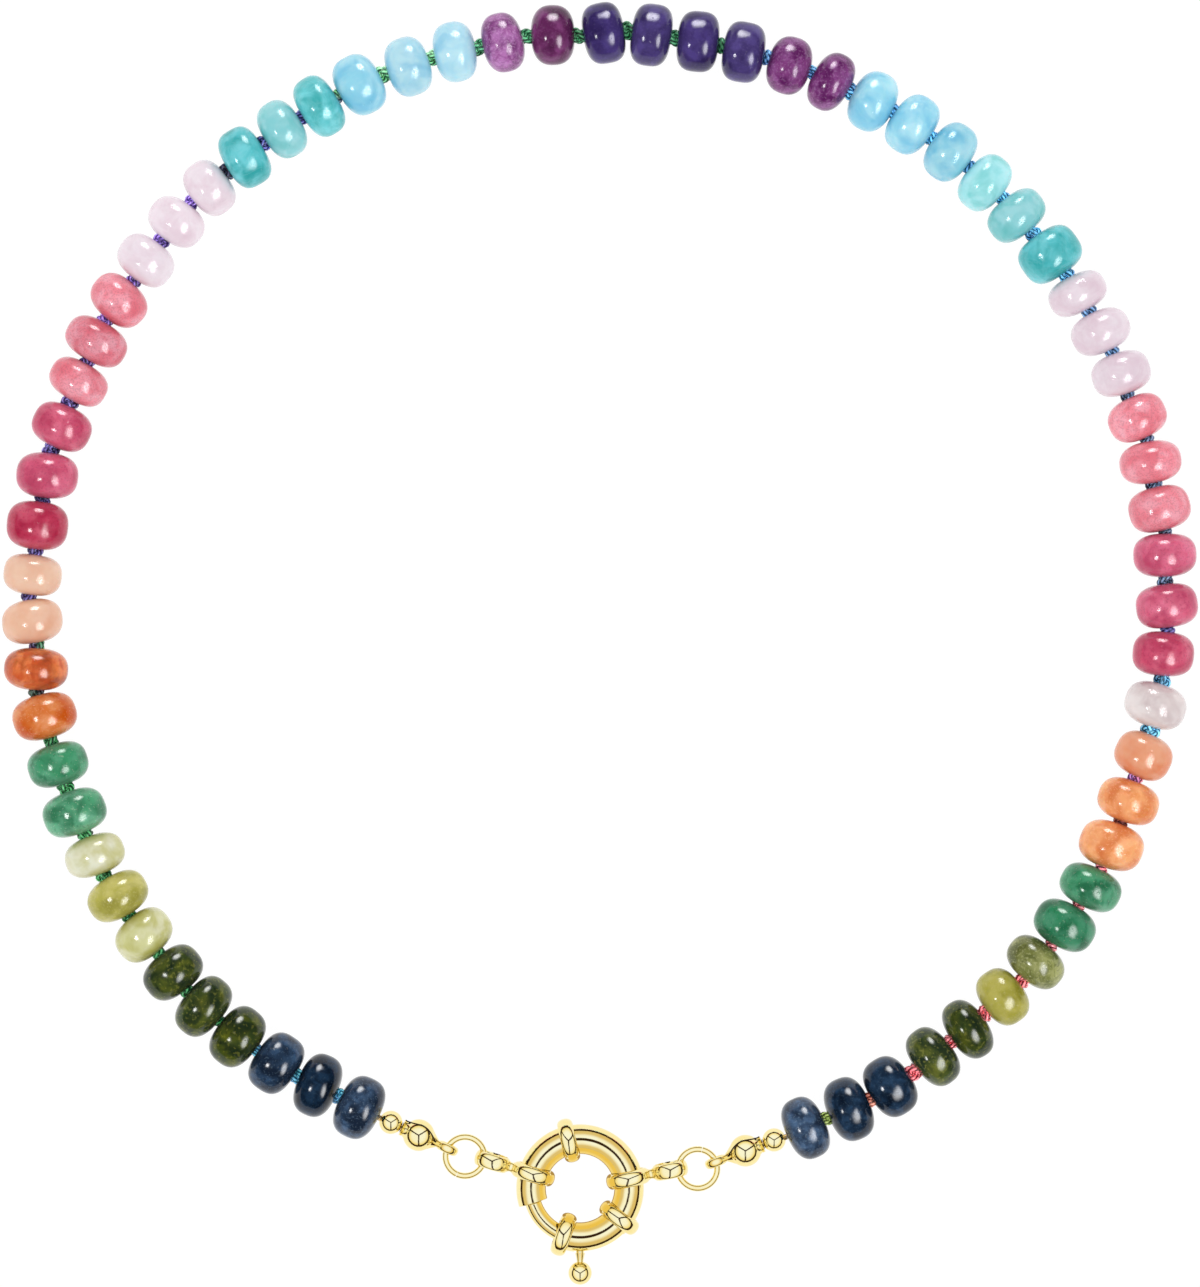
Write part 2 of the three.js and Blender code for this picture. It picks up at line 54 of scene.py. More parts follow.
def makeCamera():
    data = bpy.data.cameras.new("overheadCamera")
    data.lens = shot["lens"]
    data.sensor_width = shot["sensor"]
    camera = bpy.data.objects.new("overheadCamera", data)
    seen = shot["imageHeight"] / shot["pixelsPerMm"] * mm
    distance = seen * shot["lens"] / shot["sensor"]
    camera.location = (0, 0, shot["planeHeight"] * mm + distance)
    bpy.context.scene.collection.objects.link(camera)
    bpy.context.scene.camera = camera


makeCamera()
bpy.context.scene.view_settings.view_transform = "Standard"
print("camera ready")


# Shader tools

def tint(code, gain=1.0):
    channels = [int(code[i:i + 2], 16) / 255 for i in (1, 3, 5)]
    linear = [c / 12.92 if c <= 0.04045 else ((c + 0.055) / 1.055) ** 2.4 for c in channels]
    return (*[c * gain for c in linear], 1.0)


class Wire:
    def __init__(self, recipe, socket):
        self.recipe = recipe
        self.socket = socket

    def maths(self, operation, *values):
        return self.recipe.add("ShaderNodeMath", {"operation": operation}, list(values))

    def __add__(self, other):
        return self.maths("ADD", self, other)

    __radd__ = __add__

    def __sub__(self, other):
        return self.maths("SUBTRACT", self, other)

    def __rsub__(self, other):
        return self.maths("SUBTRACT", other, self)

    def __mul__(self, other):
        return self.maths("MULTIPLY", self, other)

    __rmul__ = __mul__

    def __abs__(self):
        return self.maths("ABSOLUTE", self)


class Recipe:
    def __init__(self, tree):
        self.tree = tree

    def add(self, kind, settings=None, values=None, out=0):
        node = self.tree.nodes.new(kind)
        for key, value in (settings or {}).items():
            setattr(node, key, value)
        pairs = enumerate(values) if isinstance(values, list) else (values or {}).items()
        for key, value in pairs:
            if isinstance(value, Wire):
                self.tree.links.new(value.socket, node.inputs[key])
            else:
                node.inputs[key].default_value = value
        return Wire(self, node.outputs[out])

    def place(self):
        return self.add("ShaderNodeTexCoord", out=3)

    def painted(self, name, out=2):
        return self.add("ShaderNodeAttribute", {"attribute_name": name}, out=out)

    def split(self, vector):
        node = self.add("ShaderNodeSeparateXYZ", None, [vector]).socket.node
        return [Wire(self, node.outputs[i]) for i in range(3)]

    def noise(self, place, size, detail=3.0, distortion=0.0):
        values = {"Vector": place, "Scale": 1 / (size * mm), "Detail": detail, "Distortion": distortion}
        return self.add("ShaderNodeTexNoise", None, values)

    def above(self, value, level, softness):
        values = [value, level - softness, level + softness, 0.0, 1.0]
        return self.add("ShaderNodeMapRange", {"interpolation_type": "SMOOTHSTEP"}, values)

    # A noise lies near a half, so the share that it should cover sets a level close to that.
    def covers(self, noise, share, softness, spread):
        return self.above(noise, 0.5 + spread * (0.5 - share), softness)

    def blend(self, share, first, second):
        values = {0: share, 6: first, 7: second}
        return self.add("ShaderNodeMix", {"data_type": "RGBA"}, values, out=2)

    def stretched(self, place, scale, turn=(0, 0, 0)):
        turns = [math.radians(a) for a in turn]
        return self.add("ShaderNodeMapping", None, {"Vector": place, "Rotation": turns, "Scale": scale})

    def bump(self, height, depth):
        return self.add("ShaderNodeBump", None, {"Strength": 1.0, "Distance": depth * mm, "Height": height})

    def feed(self, shader, values):
        for key, value in values.items():
            self.tree.links.new(value.socket, shader.inputs[key])


def finish(name, fixed):
    material = bpy.data.materials.new(name)
    material.use_nodes = True
    shader = material.node_tree.nodes["Principled BSDF"]
    for key, value in fixed.items():
        shader.inputs[key].default_value = value
    return material, Recipe(material.node_tree), shader


# Surroundings: even white light, a white floor, and lights that only their own pieces mirror

roomLight = {"colour": (1, 1, 1, 1), "strength": 1.12}


def makeRoomLight():
    world = bpy.data.worlds.new("roomLight")
    bpy.context.scene.world = world
    world.use_nodes = True
    background = world.node_tree.nodes["Background"]
    background.inputs["Color"].default_value = roomLight["colour"]
    background.inputs["Strength"].default_value = roomLight["strength"]
    world.cycles_visibility.glossy = False


# A glow that only its own pieces mirror. Unless it is solid, all other rays pass straight through.
def glowFinish(name, solid=False):
    fixed = {"Base Color": (0, 0, 0, 1), "Specular IOR Level": 0.0, "Emission Strength": 1.0}
    material, recipe, shader = finish(name, fixed)
    if not solid:
        through = recipe.add("ShaderNodeBsdfTransparent")
        both = recipe.add("ShaderNodeAddShader", None, [Wire(recipe, shader.outputs[0]), through])
        recipe.tree.links.new(both.socket, recipe.tree.nodes["Material Output"].inputs[0])
    return material, recipe, shader


def addGlow(name, shape, material, mirrors):
    mesh = shape.mesh(name, material)
    piece = bpy.data.objects.new(name, mesh)
    piece.visible_camera = False
    piece.visible_diffuse = False
    piece.visible_shadow = False
    piece.light_linking.receiver_collection = mirrors
    bpy.context.scene.collection.objects.link(piece)


litStones, litGold, litPipe, litWire, litClasp = [
    bpy.data.collections.new("lit" + part) for part in ("Stones", "Gold", "Pipe", "Wire", "Clasp")]
tent = {"zenithLight": (1.0, 1.1, 1.5, 1), "seamLight": (0.035, 0.014, 0.004, 1), "seamWidth": 0.075,
        "seamSoft": 0.02, "horizonSoft": 0.06, "lowest": -12, "highest": 89, "rows": 34, "around": 64}
tents = {
    "pieceTent": {"radius": 1.4, "lowLight": (0.95, 0.85, 0.48, 1), "level": 0.5, "soft": 0.28,
                  "horizonTop": 0.28, "lensHole": 0.1, "seams": (270, 30, 150), "mirrors": litGold},
    "pipeTent": {"radius": 1.2, "lowLight": (0.76, 0.63, 0.38, 1), "level": 0.78, "soft": 0.16,
                 "horizonTop": 0.33, "lensHole": 0.18, "seams": (), "mirrors": litPipe},
    "wireTent": {"radius": 1.0, "lowLight": (0.86, 0.68, 0.27, 1), "level": 0.72, "soft": 0.24,
                 "horizonTop": 0.4, "lensHole": 0.01, "seams": (), "mirrors": litWire},
}


# White cloth, dark at the horizon and where the camera looks in. Its seams meet overhead.
def makeTent(name, look):
    radius, turns = look["radius"], circle(tent["around"])
    rises = np.radians(np.linspace(tent["lowest"], tent["highest"], tent["rows"]))
    dome = Shape()
    dome.skin([[(radius * math.cos(rise) * math.cos(t), radius * math.cos(rise) * math.sin(t),
                 radius * math.sin(rise)) for t in turns] for rise in rises])
    material, recipe, shader = glowFinish(name)
    way = recipe.add("ShaderNodeVectorMath", {"operation": "NORMALIZE"}, [recipe.place()])
    x, y, z = recipe.split(way)
    hole, soft = look["lensHole"] ** 2, tent["seamSoft"]
    light = recipe.above(z, look["horizonTop"], tent["horizonSoft"])
    light = light * recipe.above(1 - z, hole / 2, hole / 5)
    for turn in look["seams"]:
        c, s = math.cos(math.radians(turn)), math.sin(math.radians(turn))
        across = recipe.above(abs(x * s - y * c), tent["seamWidth"], soft)
        behind = recipe.above(x * -c - y * s, soft, soft)
        light = light * across.maths("MAXIMUM", across, behind)
    overhead = recipe.above(z, look["level"], look["soft"])
    cloth = recipe.blend(overhead, look["lowLight"], tent["zenithLight"])
    recipe.feed(shader, {"Emission Color": recipe.blend(light, tent["seamLight"], cloth)})
    material.cycles.emission_sampling = "NONE"
    addGlow(name, dome, material, look["mirrors"])


floorLook = {"size": 3.0, "drop": 0.02, "white": 0.06, "glow": 0.965,
             "rough": 0.55, "unevenSize": 40, "uneven": 0.1}


def makeFloor():
    half = floorLook["size"] / 2
    corners = [(-half, -half, 0), (half, -half, 0), (half, half, 0), (-half, half, 0)]
    mesh = bpy.data.meshes.new("whiteFloor")
    mesh.from_pydata(corners, [], [(0, 1, 2, 3)])
    white = floorLook["white"]
    fixed = {"Base Color": (white, white, white, 1), "Emission Color": (1, 1, 1, 1),
             "Emission Strength": floorLook["glow"]}
    material, recipe, shader = finish("whiteFloor", fixed)
    uneven = recipe.noise(recipe.place(), floorLook["unevenSize"]) * floorLook["uneven"]
    recipe.feed(shader, {"Roughness": floorLook["rough"] + uneven})
    mesh.materials.append(material)
    floor = bpy.data.objects.new("whiteFloor", mesh)
    floor.location.z = -floorLook["drop"] * mm
    bpy.context.scene.collection.objects.link(floor)


makeRoomLight()
makeFloor()
print("floor and room light ready")


# Mesh tools

def direction(angle):
    return np.array([math.cos(math.radians(angle)), math.sin(math.radians(angle)), 0.0])


def unit(vector):
    return vector / np.linalg.norm(vector)


# Points of an outline, (along, radius), on a ball
def arc(radius, start, end, steps, middle=0.0):
    return [(middle - radius * math.cos(t), radius * math.sin(t)) for t in np.linspace(start, end, steps)]


def circle(steps):
    return np.arange(steps) * 2 * math.pi / steps


def cells(rows, columns, closedRows, first):
    quads = []
    for i in range(rows if closedRows else rows - 1):
        below = (i + 1) % rows
        for j in range(columns):
            beside = (j + 1) % columns
            quads.append([first + row * columns + k for row, k in
                          ((i, j), (i, beside), (below, beside), (below, j))])
    return quads


class Shape:
    def __init__(self):
        self.points = []
        self.faces = []
        self.paint = {}

    def skin(self, rings, closedRows=False, **paint):
        rings = np.asarray(rings, float)
        rows, columns = rings.shape[:2]
        first = len(self.points)
        self.points.extend(rings.reshape(-1, 3).tolist())
        self.faces.extend(cells(rows, columns, closedRows, first))
        if not closedRows:
            self.faces.append([first + k for k in reversed(range(columns))])
            last = first + (rows - 1) * columns
            self.faces.append([last + k for k in range(columns)])
        for name, values in paint.items():
            values = np.broadcast_to(values, (rows, columns) + np.shape(values)[2:])
            values = values.reshape(rows * columns, -1)
            layer = self.paint.setdefault(name, [])
            layer.extend([[0.0] * values.shape[1]] * (first - len(layer)))
            layer.extend(values.tolist())

    # An outline of (along, radius) turned round an axis, closed or with capped ends
    def turned(self, outline, origin, axis, side, steps=48, closed=True):
        angles = circle(steps)
        spokes = np.outer(np.cos(angles), side) + np.outer(np.sin(angles), np.cross(axis, side))
        rings = [origin + axis * along + spokes * radius for along, radius in np.array(outline) * mm]
        self.skin(rings, closed)

    # A round wire along a path. The radius may change round the wire and along it.
    def wire(self, path, radius, sides=16, closed=False, start=up, **paint):
        path = np.asarray(path, float)
        ahead = np.roll(path, -1, 0) - np.roll(path, 1, 0)
        if not closed:
            ahead[0], ahead[-1] = path[1] - path[0], path[-1] - path[-2]
        ahead /= np.linalg.norm(ahead, axis=1)[:, None]
        side = start - ahead[0] * np.dot(start, ahead[0])
        sideways = []
        for tangent in ahead:
            side = unit(side - tangent * np.dot(side, tangent))
            sideways.append(side)
        sideways = np.array(sideways)
        turn = np.zeros(len(path))
        if closed:
            last, first = sideways[-1], sideways[0]
            last = last - ahead[0] * np.dot(last, ahead[0])
            slip = math.atan2(np.dot(np.cross(last, first), ahead[0]), np.dot(last, first))
            turn = slip * np.arange(len(path)) / len(path)
        third = np.cross(ahead, sideways)
        spin = circle(sides)[None, :] + turn[:, None]
        radii = np.broadcast_to(radius, spin.shape) if np.ndim(radius) != 1 else np.array(radius)[:, None]
        rings = (path[:, None, :]
                 + (radii * np.cos(spin))[:, :, None] * sideways[:, None, :]
                 + (radii * np.sin(spin))[:, :, None] * third[:, None, :])
        self.skin(rings, closed, **paint)

    def mesh(self, name, material):
        mesh = bpy.data.meshes.new(name)
        mesh.from_pydata(self.points, [], self.faces)
        for key, values in self.paint.items():
            unpainted = [[0.0] * len(values[0])] * (len(self.points) - len(values))
            values = np.array(values + unpainted, np.float32)
            if values.shape[1] == 1:
                layer = mesh.attributes.new(key, "FLOAT", "POINT")
                layer.data.foreach_set("value", values.ravel())
            else:
                layer = mesh.attributes.new(key, "FLOAT_COLOR", "POINT")
                layer.data.foreach_set("color", values.ravel())
        mesh.shade_smooth()
        mesh.materials.append(material)
        return mesh

    def build(self, name, material, slot, nodes, body="necklace", sharp=38, lit=(litStones,)):
        mesh = self.mesh(name, material)
        mesh.set_sharp_from_angle(angle=math.radians(sharp))
        piece = bpy.data.objects.new(name, mesh)
        bpy.context.scene.collection.objects.link(piece)
        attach(piece, body)
        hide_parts(*nodes)
        for collection in lit:
            collection.objects.link(piece)
        return piece


# Each softbox is one highlight on the stones, drawn as it looks on a ball seen from above:
# its place and its size are shares of the ball's radius.
softboxes = [
    {"name": "topSoftbox", "x": 0.02, "y": 0.56, "width": 0.4, "height": 0.3, "radiance": 20},
    {"name": "rightSoftbox", "x": 0.24, "y": -0.2, "width": 0.33, "height": 0.54, "radiance": 16},
    {"name": "smallLamp", "x": -0.24, "y": -0.1, "width": 0.14, "height": 0.15, "radiance": 36},
]
softboxGrid = {"distance": 0.85, "rings": 9, "around": 28, "middle": 0.02, "fadeWidth": 0.7, "fadeSoft": 0.5}


def makeSoftboxes():
    for box in softboxes:
        grid, fade = [], []
        for share in np.linspace(softboxGrid["middle"], 1, softboxGrid["rings"]):
            ring = []
            for t in circle(softboxGrid["around"]):
                x = box["x"] + box["width"] / 2 * share * math.cos(t)
                y = box["y"] + box["height"] / 2 * share * math.sin(t)
                z = math.sqrt(1 - x * x - y * y)
                ring.append(np.array([2 * z * x, 2 * z * y, 2 * z * z - 1]) * softboxGrid["distance"])
            grid.append(ring)
            fade.append([[min(1, (1 - share) / softboxGrid["fadeWidth"])]] * len(ring))
        patch = Shape()
        patch.skin(grid, fade=np.array(fade))
        material, recipe, shader = glowFinish(box["name"])
        soft = recipe.above(recipe.painted("fade"), 0.5, softboxGrid["fadeSoft"]) * box["radiance"]
        recipe.feed(shader, {"Emission Color": recipe.add("ShaderNodeCombineColor", None, [soft] * 3)})
        addGlow(box["name"], patch, material, litStones)


# An amber card that stands inside the ring and colours the clasp's inner sides. Its dark
# foot spreads toward the pipe and draws the thin line along the pipe's inner edge.
amberCard = {"radius": 2.4, "footRadius": 4.3, "footHeight": 0.3, "footRise": 0.2, "footSoft": 0.15,
             "rise": 2.7, "amberRise": 0.3, "amberSoft": 1.1, "around": 48, "amber": (0.88, 0.66, 0.2, 1),
             "lemon": (0.95, 0.8, 0.45, 1), "foot": (0.45, 0.3, 0.12, 1)}


def makeAmberCard():
    middle, foot = claspCentre[2], amberCard["footHeight"] * mm
    rows = [(amberCard["footRadius"], foot), (amberCard["radius"], foot),
            (amberCard["radius"], middle + amberCard["rise"] * mm)]
    card = Shape()
    card.skin([[(claspCentre[0] + radius * mm * math.cos(t), claspCentre[1] + radius * mm * math.sin(t), z)
                for t in circle(amberCard["around"])] for radius, z in rows])
    material, recipe, shader = glowFinish("amberCard", True)
    z = recipe.split(recipe.place())[2]
    amber = recipe.above(z, middle + amberCard["amberRise"] * mm, amberCard["amberSoft"] * mm)
    light = recipe.blend(amber, amberCard["lemon"], amberCard["amber"])
    lit = recipe.above(z, foot + amberCard["footRise"] * mm, amberCard["footSoft"] * mm)
    recipe.feed(shader, {"Emission Color": recipe.blend(lit, amberCard["foot"], light)})
    addGlow("amberCard", card, material, litClasp)


for name, look in tents.items():
    makeTent(name, look)
makeAmberCard()
makeSoftboxes()
print("tents and softboxes ready")


# Corners of a closed outline rounded by a short curve
def rounded(corners, radius, steps=5):
    corners = np.array(corners, float)
    outline = []
    for before, corner, after in zip(np.roll(corners, 1, 0), corners, np.roll(corners, -1, 0)):
        ends = []
        for other in (before, after):
            reach = np.linalg.norm(other - corner)
            ends.append(corner + (other - corner) * min(radius, reach * 0.48) / reach)
        for t in np.linspace(0, 1, steps):
            outline.append(ends[0] * (1 - t) ** 2 + corner * 2 * t * (1 - t) + ends[1] * t * t)
    return outline


# The stones' places, worked out as the solids' places are

arms = {
    "left": {"link": 163, "jump": 170, "tip": 155},
    "right": {"link": 11.3, "jump": 2.8, "tip": 21},
}
clasp = {"ringRadius": 6.3, "tubeRadius": 1.9, "tubeWall": 0.4, "startAngle": -116, "mouthAngle": 197,
         "tongueTip": 194, "tongueRadius": 1.05, "plungerStart": 252, "plungerEnd": 288,
         "plungerRadius": 1.2, "stemAngle": 270, "stemRadius": 0.5, "stemFlare": 0.64, "knobRadius": 1.5,
         "knobReach": 4.6, "travel": 38, "slotHalfWidth": 0.75, "edge": 0.07, "cell": 3, "slotCells": 5,
         "wallCells": 40, "tongueEnd": [(0, 0.45), (0.8, 0.75), (2, 0.92)], "stemSeat": 0.12,
         "stemSlim": 0.84, "flareCurve": 1.3, "around": 32}
bands = {"innerRadius": 2.1, "wall": 0.75, "width": 2.0, "linkRadius": 2.3, "linkWall": 0.5,
         "waist": 0.35, "waistThickness": 1.2, "plump": 0.95, "shoulder": 0.05, "foot": 0.4,
         "waistStart": 0.6, "waistEnd": 0.4, "waistRound": 0.45, "waistFlare": 0.35,
         "angles": {"collar_top": 103.5, "collar_lower_right": 323, "collar_lower_left": 250.3}}
rings = {"jumpRadius": 2.5, "jumpWire": 0.41, "jumpCut": 0.06, "cutTurn": 75, "clearance": 0.35,
         "loopWire": 0.35, "tipRadius": 2.05, "tipWall": 0.35, "tipNeck": 1.15, "tipShank": 0.9,
         "hole": 0.7, "ridges": (0.06, 0.19, 0.32), "ridgeWidth": 0.06, "ridgeLow": 0.84,
         "ridgeHigh": 0.95, "neckEnd": 0.36, "shankFoot": 1.65, "footFlat": 0.8, "footSunk": 0.6,
         "footCurve": 1.25, "hookWidth": 1.15, "ballRadius": 1.5, "ballHole": 0.45, "ballLip": 0.12,
         "seat": 0.2, "lipWire": 0.09, "lipSteps": 44,
         "lip": [(2.35, 1.08), (1.5, 1.14), (0.69, 1.32), (0, 1.4),
                 (-0.66, 1.25), (-1.4, 0.85), (-1.9, 0.42), (-2.3, 0.15)]}
stoneSizes = {"width": 8.0, "thickness": 5.6, "knot": 0.6, "heightShare": 0.97, "solidHeightShare": 0.951,
              "mouth": 0.85, "hole": 0.5, "mouthDepth": 0.3, "lipDepth": 0.05, "lipWidth": 0.12,
              "dish": 0.6, "holeRim": 0.08, "around": 44, "along": 26, "traced": 240,
              "square": {"indigo": 3.0, "teal": 2.9, "navy": 2.7}, "squareElse": 2.55, "squareVary": 0.12,
              "waves": 4, "waviness": 0.009, "waveTurn": 0.55, "swellMost": 0.012, "shrink": 0.008}

# Runs of one kind, in the string's order. Each stone has its width, thickness, swing and
# knot length as in the solids, then how deep its colour is for its kind, from -1 to 1.
stoneRuns = [
    ("navy", (1.03, 1.0, 4, 0.9, -0.71), (1.04, 0.96, 4, 0.8, 1.0), (1.0, 1.02, -4, 0.4, -0.18)),
    ("moss", (1.02, 1.04, 1, 0.3, 0.6), (1.05, 0.98, 5, 0.5, 0.1), (1.01, 1.02, -1, 0.5, 0.2)),
    ("lemon", (0.98, 1.03, 4, 0.5, 0.0)),
    ("olive", (1.03, 1.0, -1, 1.1, -0.4)),
    ("cream", (0.99, 0.94, -8, 0.9, 0.0)),
    ("aventurine", (1.03, 1.02, -2, 1.5, -0.66), (0.99, 0.98, 0, 1.2, -0.02)),
    ("orange", (1.04, 1.05, 4, 0.8, 0.46)),
    ("carnelian", (1.03, 0.98, -11, 0.9, 0.0)),
    ("peach", (0.98, 1.02, 7, 0.8, 0.0), (0.95, 0.96, -5, 0.8, -0.2)),
    ("raspberry", (1.0, 1.12, 2, 0.8, 0.7), (1.0, 1.05, 8, 1.3, -0.2), (0.97, 1.01, -7, 1.2, 0.0)),
    ("salmon", (0.97, 0.92, -8, 0.6, 0.1), (1.03, 0.97, -4, 0.6, 0.6), (0.98, 1.03, -12, 0.8, 0.0)),
    ("rose", (0.96, 1.02, 0, 1.1, -0.1), (0.95, 1.0, 5, 1.0, -0.5), (0.94, 0.96, -6, 1.0, -0.2)),
    ("teal", (1.01, 0.96, -9, 1.0, 0.13)),
    ("aqua", (0.98, 0.96, -3, 0.6, 0.3)),
    ("teal", (1.03, 0.93, 2, 0.5, -0.37)),
    ("sky", (1.01, 1.05, 4, 1.5, 0.0)),
    ("pale_sky", (0.98, 1.02, 0, 1.1, 0.2), (0.98, 0.98, -3, 1.4, 0.0)),
    ("orchid", (0.97, 0.95, 3, 1.7, -0.79)),
    ("plum", (0.98, 1.02, -3, 1.6, 0.0)),
    ("indigo", (1.0, 0.95, 10, 1.4, 0.3), (1.01, 0.94, -3, 1.2, -0.2), (0.98, 0.96, 5, 1.0, 0.1),
     (0.99, 0.98, 6, 0.8, -0.3)),
    ("orchid", (0.95, 1.01, 3, 0.7, 0.75), (0.97, 0.91, -6, 0.7, 0.75)),
    ("sky", (0.99, 1.03, 1, 0.3, -0.2), (1.0, 1.02, -2, 0.5, -0.2), (1.01, 1.02, 3, 0.6, 0.3)),
    ("aqua", (0.97, 0.97, 4, 0.7, -0.6), (1.0, 0.97, -5, 1.3, 0.4)),
    ("teal", (1.02, 1.1, -3, 1.0, 0.1)),
    ("rose", (0.98, 0.88, -7, 0.9, 0.2), (0.98, 0.98, -3, 0.7, 0.1), (0.97, 0.99, -5, 0.8, 0.2)),
    ("salmon", (0.97, 1.02, 7, 0.5, -0.2), (1.02, 0.98, -4, 0.7, -0.2), (1.01, 1.03, 6, 0.5, 0.1)),
    ("raspberry", (1.03, 1.01, -2, 1.3, -0.4), (1.01, 1.03, 9, 0.7, -0.3), (1.0, 1.05, 2, 1.3, 0.1)),
    ("milk_rose", (1.0, 1.03, -8, 1.4, 0.0)),
    ("peach", (0.94, 1.04, -10, 0.8, 0.8)),
    ("orange", (1.01, 0.99, 0, 0.5, -0.2), (1.05, 1.08, 4, 0.4, -0.3)),
    ("aventurine", (1.03, 0.97, 4, 0.5, 0.13), (1.03, 1.05, 7, 0.5, 0.93)),
    ("sage", (1.0, 0.98, 2, 0.8, 0.0)),
    ("olive", (0.97, 1.02, -10, 1.2, 0.5)),
    ("moss", (1.03, 0.92, -7, 0.7, 0.4), (1.01, 0.95, 1, 1.8, -0.37)),
    ("navy", (1.01, 1.05, 0, 0.5, 0.6), (1.05, 1.0, -2, 1.0, 0.54), (1.03, 0.95, -1, 0, -1.0)),
]
stoneChart = [(kind, *row) for kind, *rows in stoneRuns for row in rows]
leftStones = 33

# Route of the string seen from above, from the clasp's centre
routePoints = [
    (-43.6, 19.3), (-55.6, 32.2), (-64.6, 48), (-69.6, 66.4), (-69.5, 84.8), (-64.2, 103.4),
    (-55.6, 118.9), (-42.8, 132.2), (-28, 141.4), (-9.5, 146.9), (9.6, 147.7), (27.2, 143.6),
    (43, 136), (56.4, 124.1), (67, 109.1), (73.2, 92.4), (75.1, 74), (71.9, 54.8),
    (64.9, 38), (53.5, 24), (38.9, 12.6),
]


def stoneRadius(row):
    return stoneSizes["width"] * row[1] / 2


def halfThickness(row):
    return stoneSizes["thickness"] * row[2] / 2


def armLayout(arm, row):
    bandOuter = bands["innerRadius"] + bands["wall"]
    linkReach = bandOuter + bands["waist"] + bands["linkRadius"]
    loopInner = bands["linkRadius"] - bands["linkWall"]
    jumpReach = loopInner - rings["jumpWire"] - rings["clearance"] + rings["jumpRadius"]
    loopRadius = rings["jumpWire"] + rings["clearance"] + rings["loopWire"]
    tipReach = loopRadius + rings["tipShank"] + rings["tipRadius"]
    ballReach = rings["tipRadius"] + 2 * rings["seat"] + rings["ballRadius"]
    linkLoop = direction(arm["link"]) * (clasp["ringRadius"] + linkReach)
    jump = linkLoop + direction(arm["jump"]) * jumpReach
    tipLoop = jump + direction(arm["tip"]) * rings["jumpRadius"]
    run = tipReach + ballReach + rings["ballRadius"] + rings["seat"] + halfThickness(row)
    claspHeight = claspCentre[2] / mm
    climb = math.asin((stoneRadius(row) * stoneSizes["solidHeightShare"] - claspHeight) / run)
    slope = direction(arm["tip"]) * math.cos(climb) + up * math.sin(climb)
    return {"linkReach": linkReach, "loopRadius": loopRadius, "tipReach": tipReach, "jump": jump,
            "slope": slope, "cup": tipLoop + slope * tipReach,
            "ball": tipLoop + slope * (tipReach + ballReach),
            "stone": (tipLoop + slope * run) * np.array([1, 1, 0])}


# How finely the route is drawn, between which scales it is fitted to the stones' length,
# and how far before and after a stone its heading is read
routeFit = {"perStretch": 120, "smallest": 0.3, "largest": 3.0, "halvings": 30, "nearby": 0.1}


# The route as a smooth curve whose speed follows the square root of each stretch
def routeCurve(first, last, scale):
    middle = (first + last) / 2
    inner = [(np.array([x, y, 0.0]) - middle) * scale + middle for x, y in routePoints]
    points = [first, *inner, last]
    points = [2 * points[0] - points[1], *points, 2 * points[-1] - points[-2]]
    t = np.linspace(0, 1, routeFit["perStretch"], endpoint=False)[:, None]
    drawn = []
    for a, b, c, d in zip(points, points[1:], points[2:], points[3:]):
        spans = [math.sqrt(np.linalg.norm(q - p)) for p, q in ((a, b), (b, c), (c, d))]
        leave = ((b - a) / spans[0] - (c - a) / (spans[0] + spans[1]) + (c - b) / spans[1]) * spans[1]
        arrive = ((c - b) / spans[1] - (d - b) / (spans[1] + spans[2]) + (d - c) / spans[2]) * spans[1]
        drawn.append(b + leave * t + (3 * (c - b) - 2 * leave - arrive) * t ** 2
                     + (2 * (b - c) + leave + arrive) * t ** 3)
    curve = np.vstack([*drawn, [last]])
    steps = np.linalg.norm(np.diff(curve, axis=0), axis=1)
    return curve, np.concatenate([[0], np.cumsum(steps)])


def placeStones(first, last):
    stations = [0.0]
    for before, row in zip(stoneChart, stoneChart[1:]):
        gap = stoneSizes["knot"] * before[4]
        stations.append(stations[-1] + halfThickness(before) + gap + halfThickness(row))
    low, high = routeFit["smallest"], routeFit["largest"]
    for _ in range(routeFit["halvings"]):
        scale = (low + high) / 2
        if routeCurve(first, last, scale)[1][-1] < stations[-1]:
            low = scale
        else:
            high = scale
    curve, runs = routeCurve(first, last, (low + high) / 2)
    placed = []
    for row, station in zip(stoneChart, stations):
        point, back, front = [np.array([np.interp(station + s, runs, curve[:, k]) for k in range(3)])
                              for s in (0, -routeFit["nearby"], routeFit["nearby"])]
        heading = math.degrees(math.atan2(*(front - back)[[1, 0]])) + row[3]
        height = stoneRadius(row) * stoneSizes["heightShare"] * mm
        centre = claspCentre * np.array([1, 1, 0]) + point * mm + up * height
        placed.append({"row": row, "centre": centre, "axis": direction(heading)})
    return placed


layouts = {"left": armLayout(arms["left"], stoneChart[0]), "right": armLayout(arms["right"], stoneChart[-1])}
stones = placeStones(layouts["left"]["stone"], layouts["right"]["stone"])
print("places worked out for", len(stones), "stones")


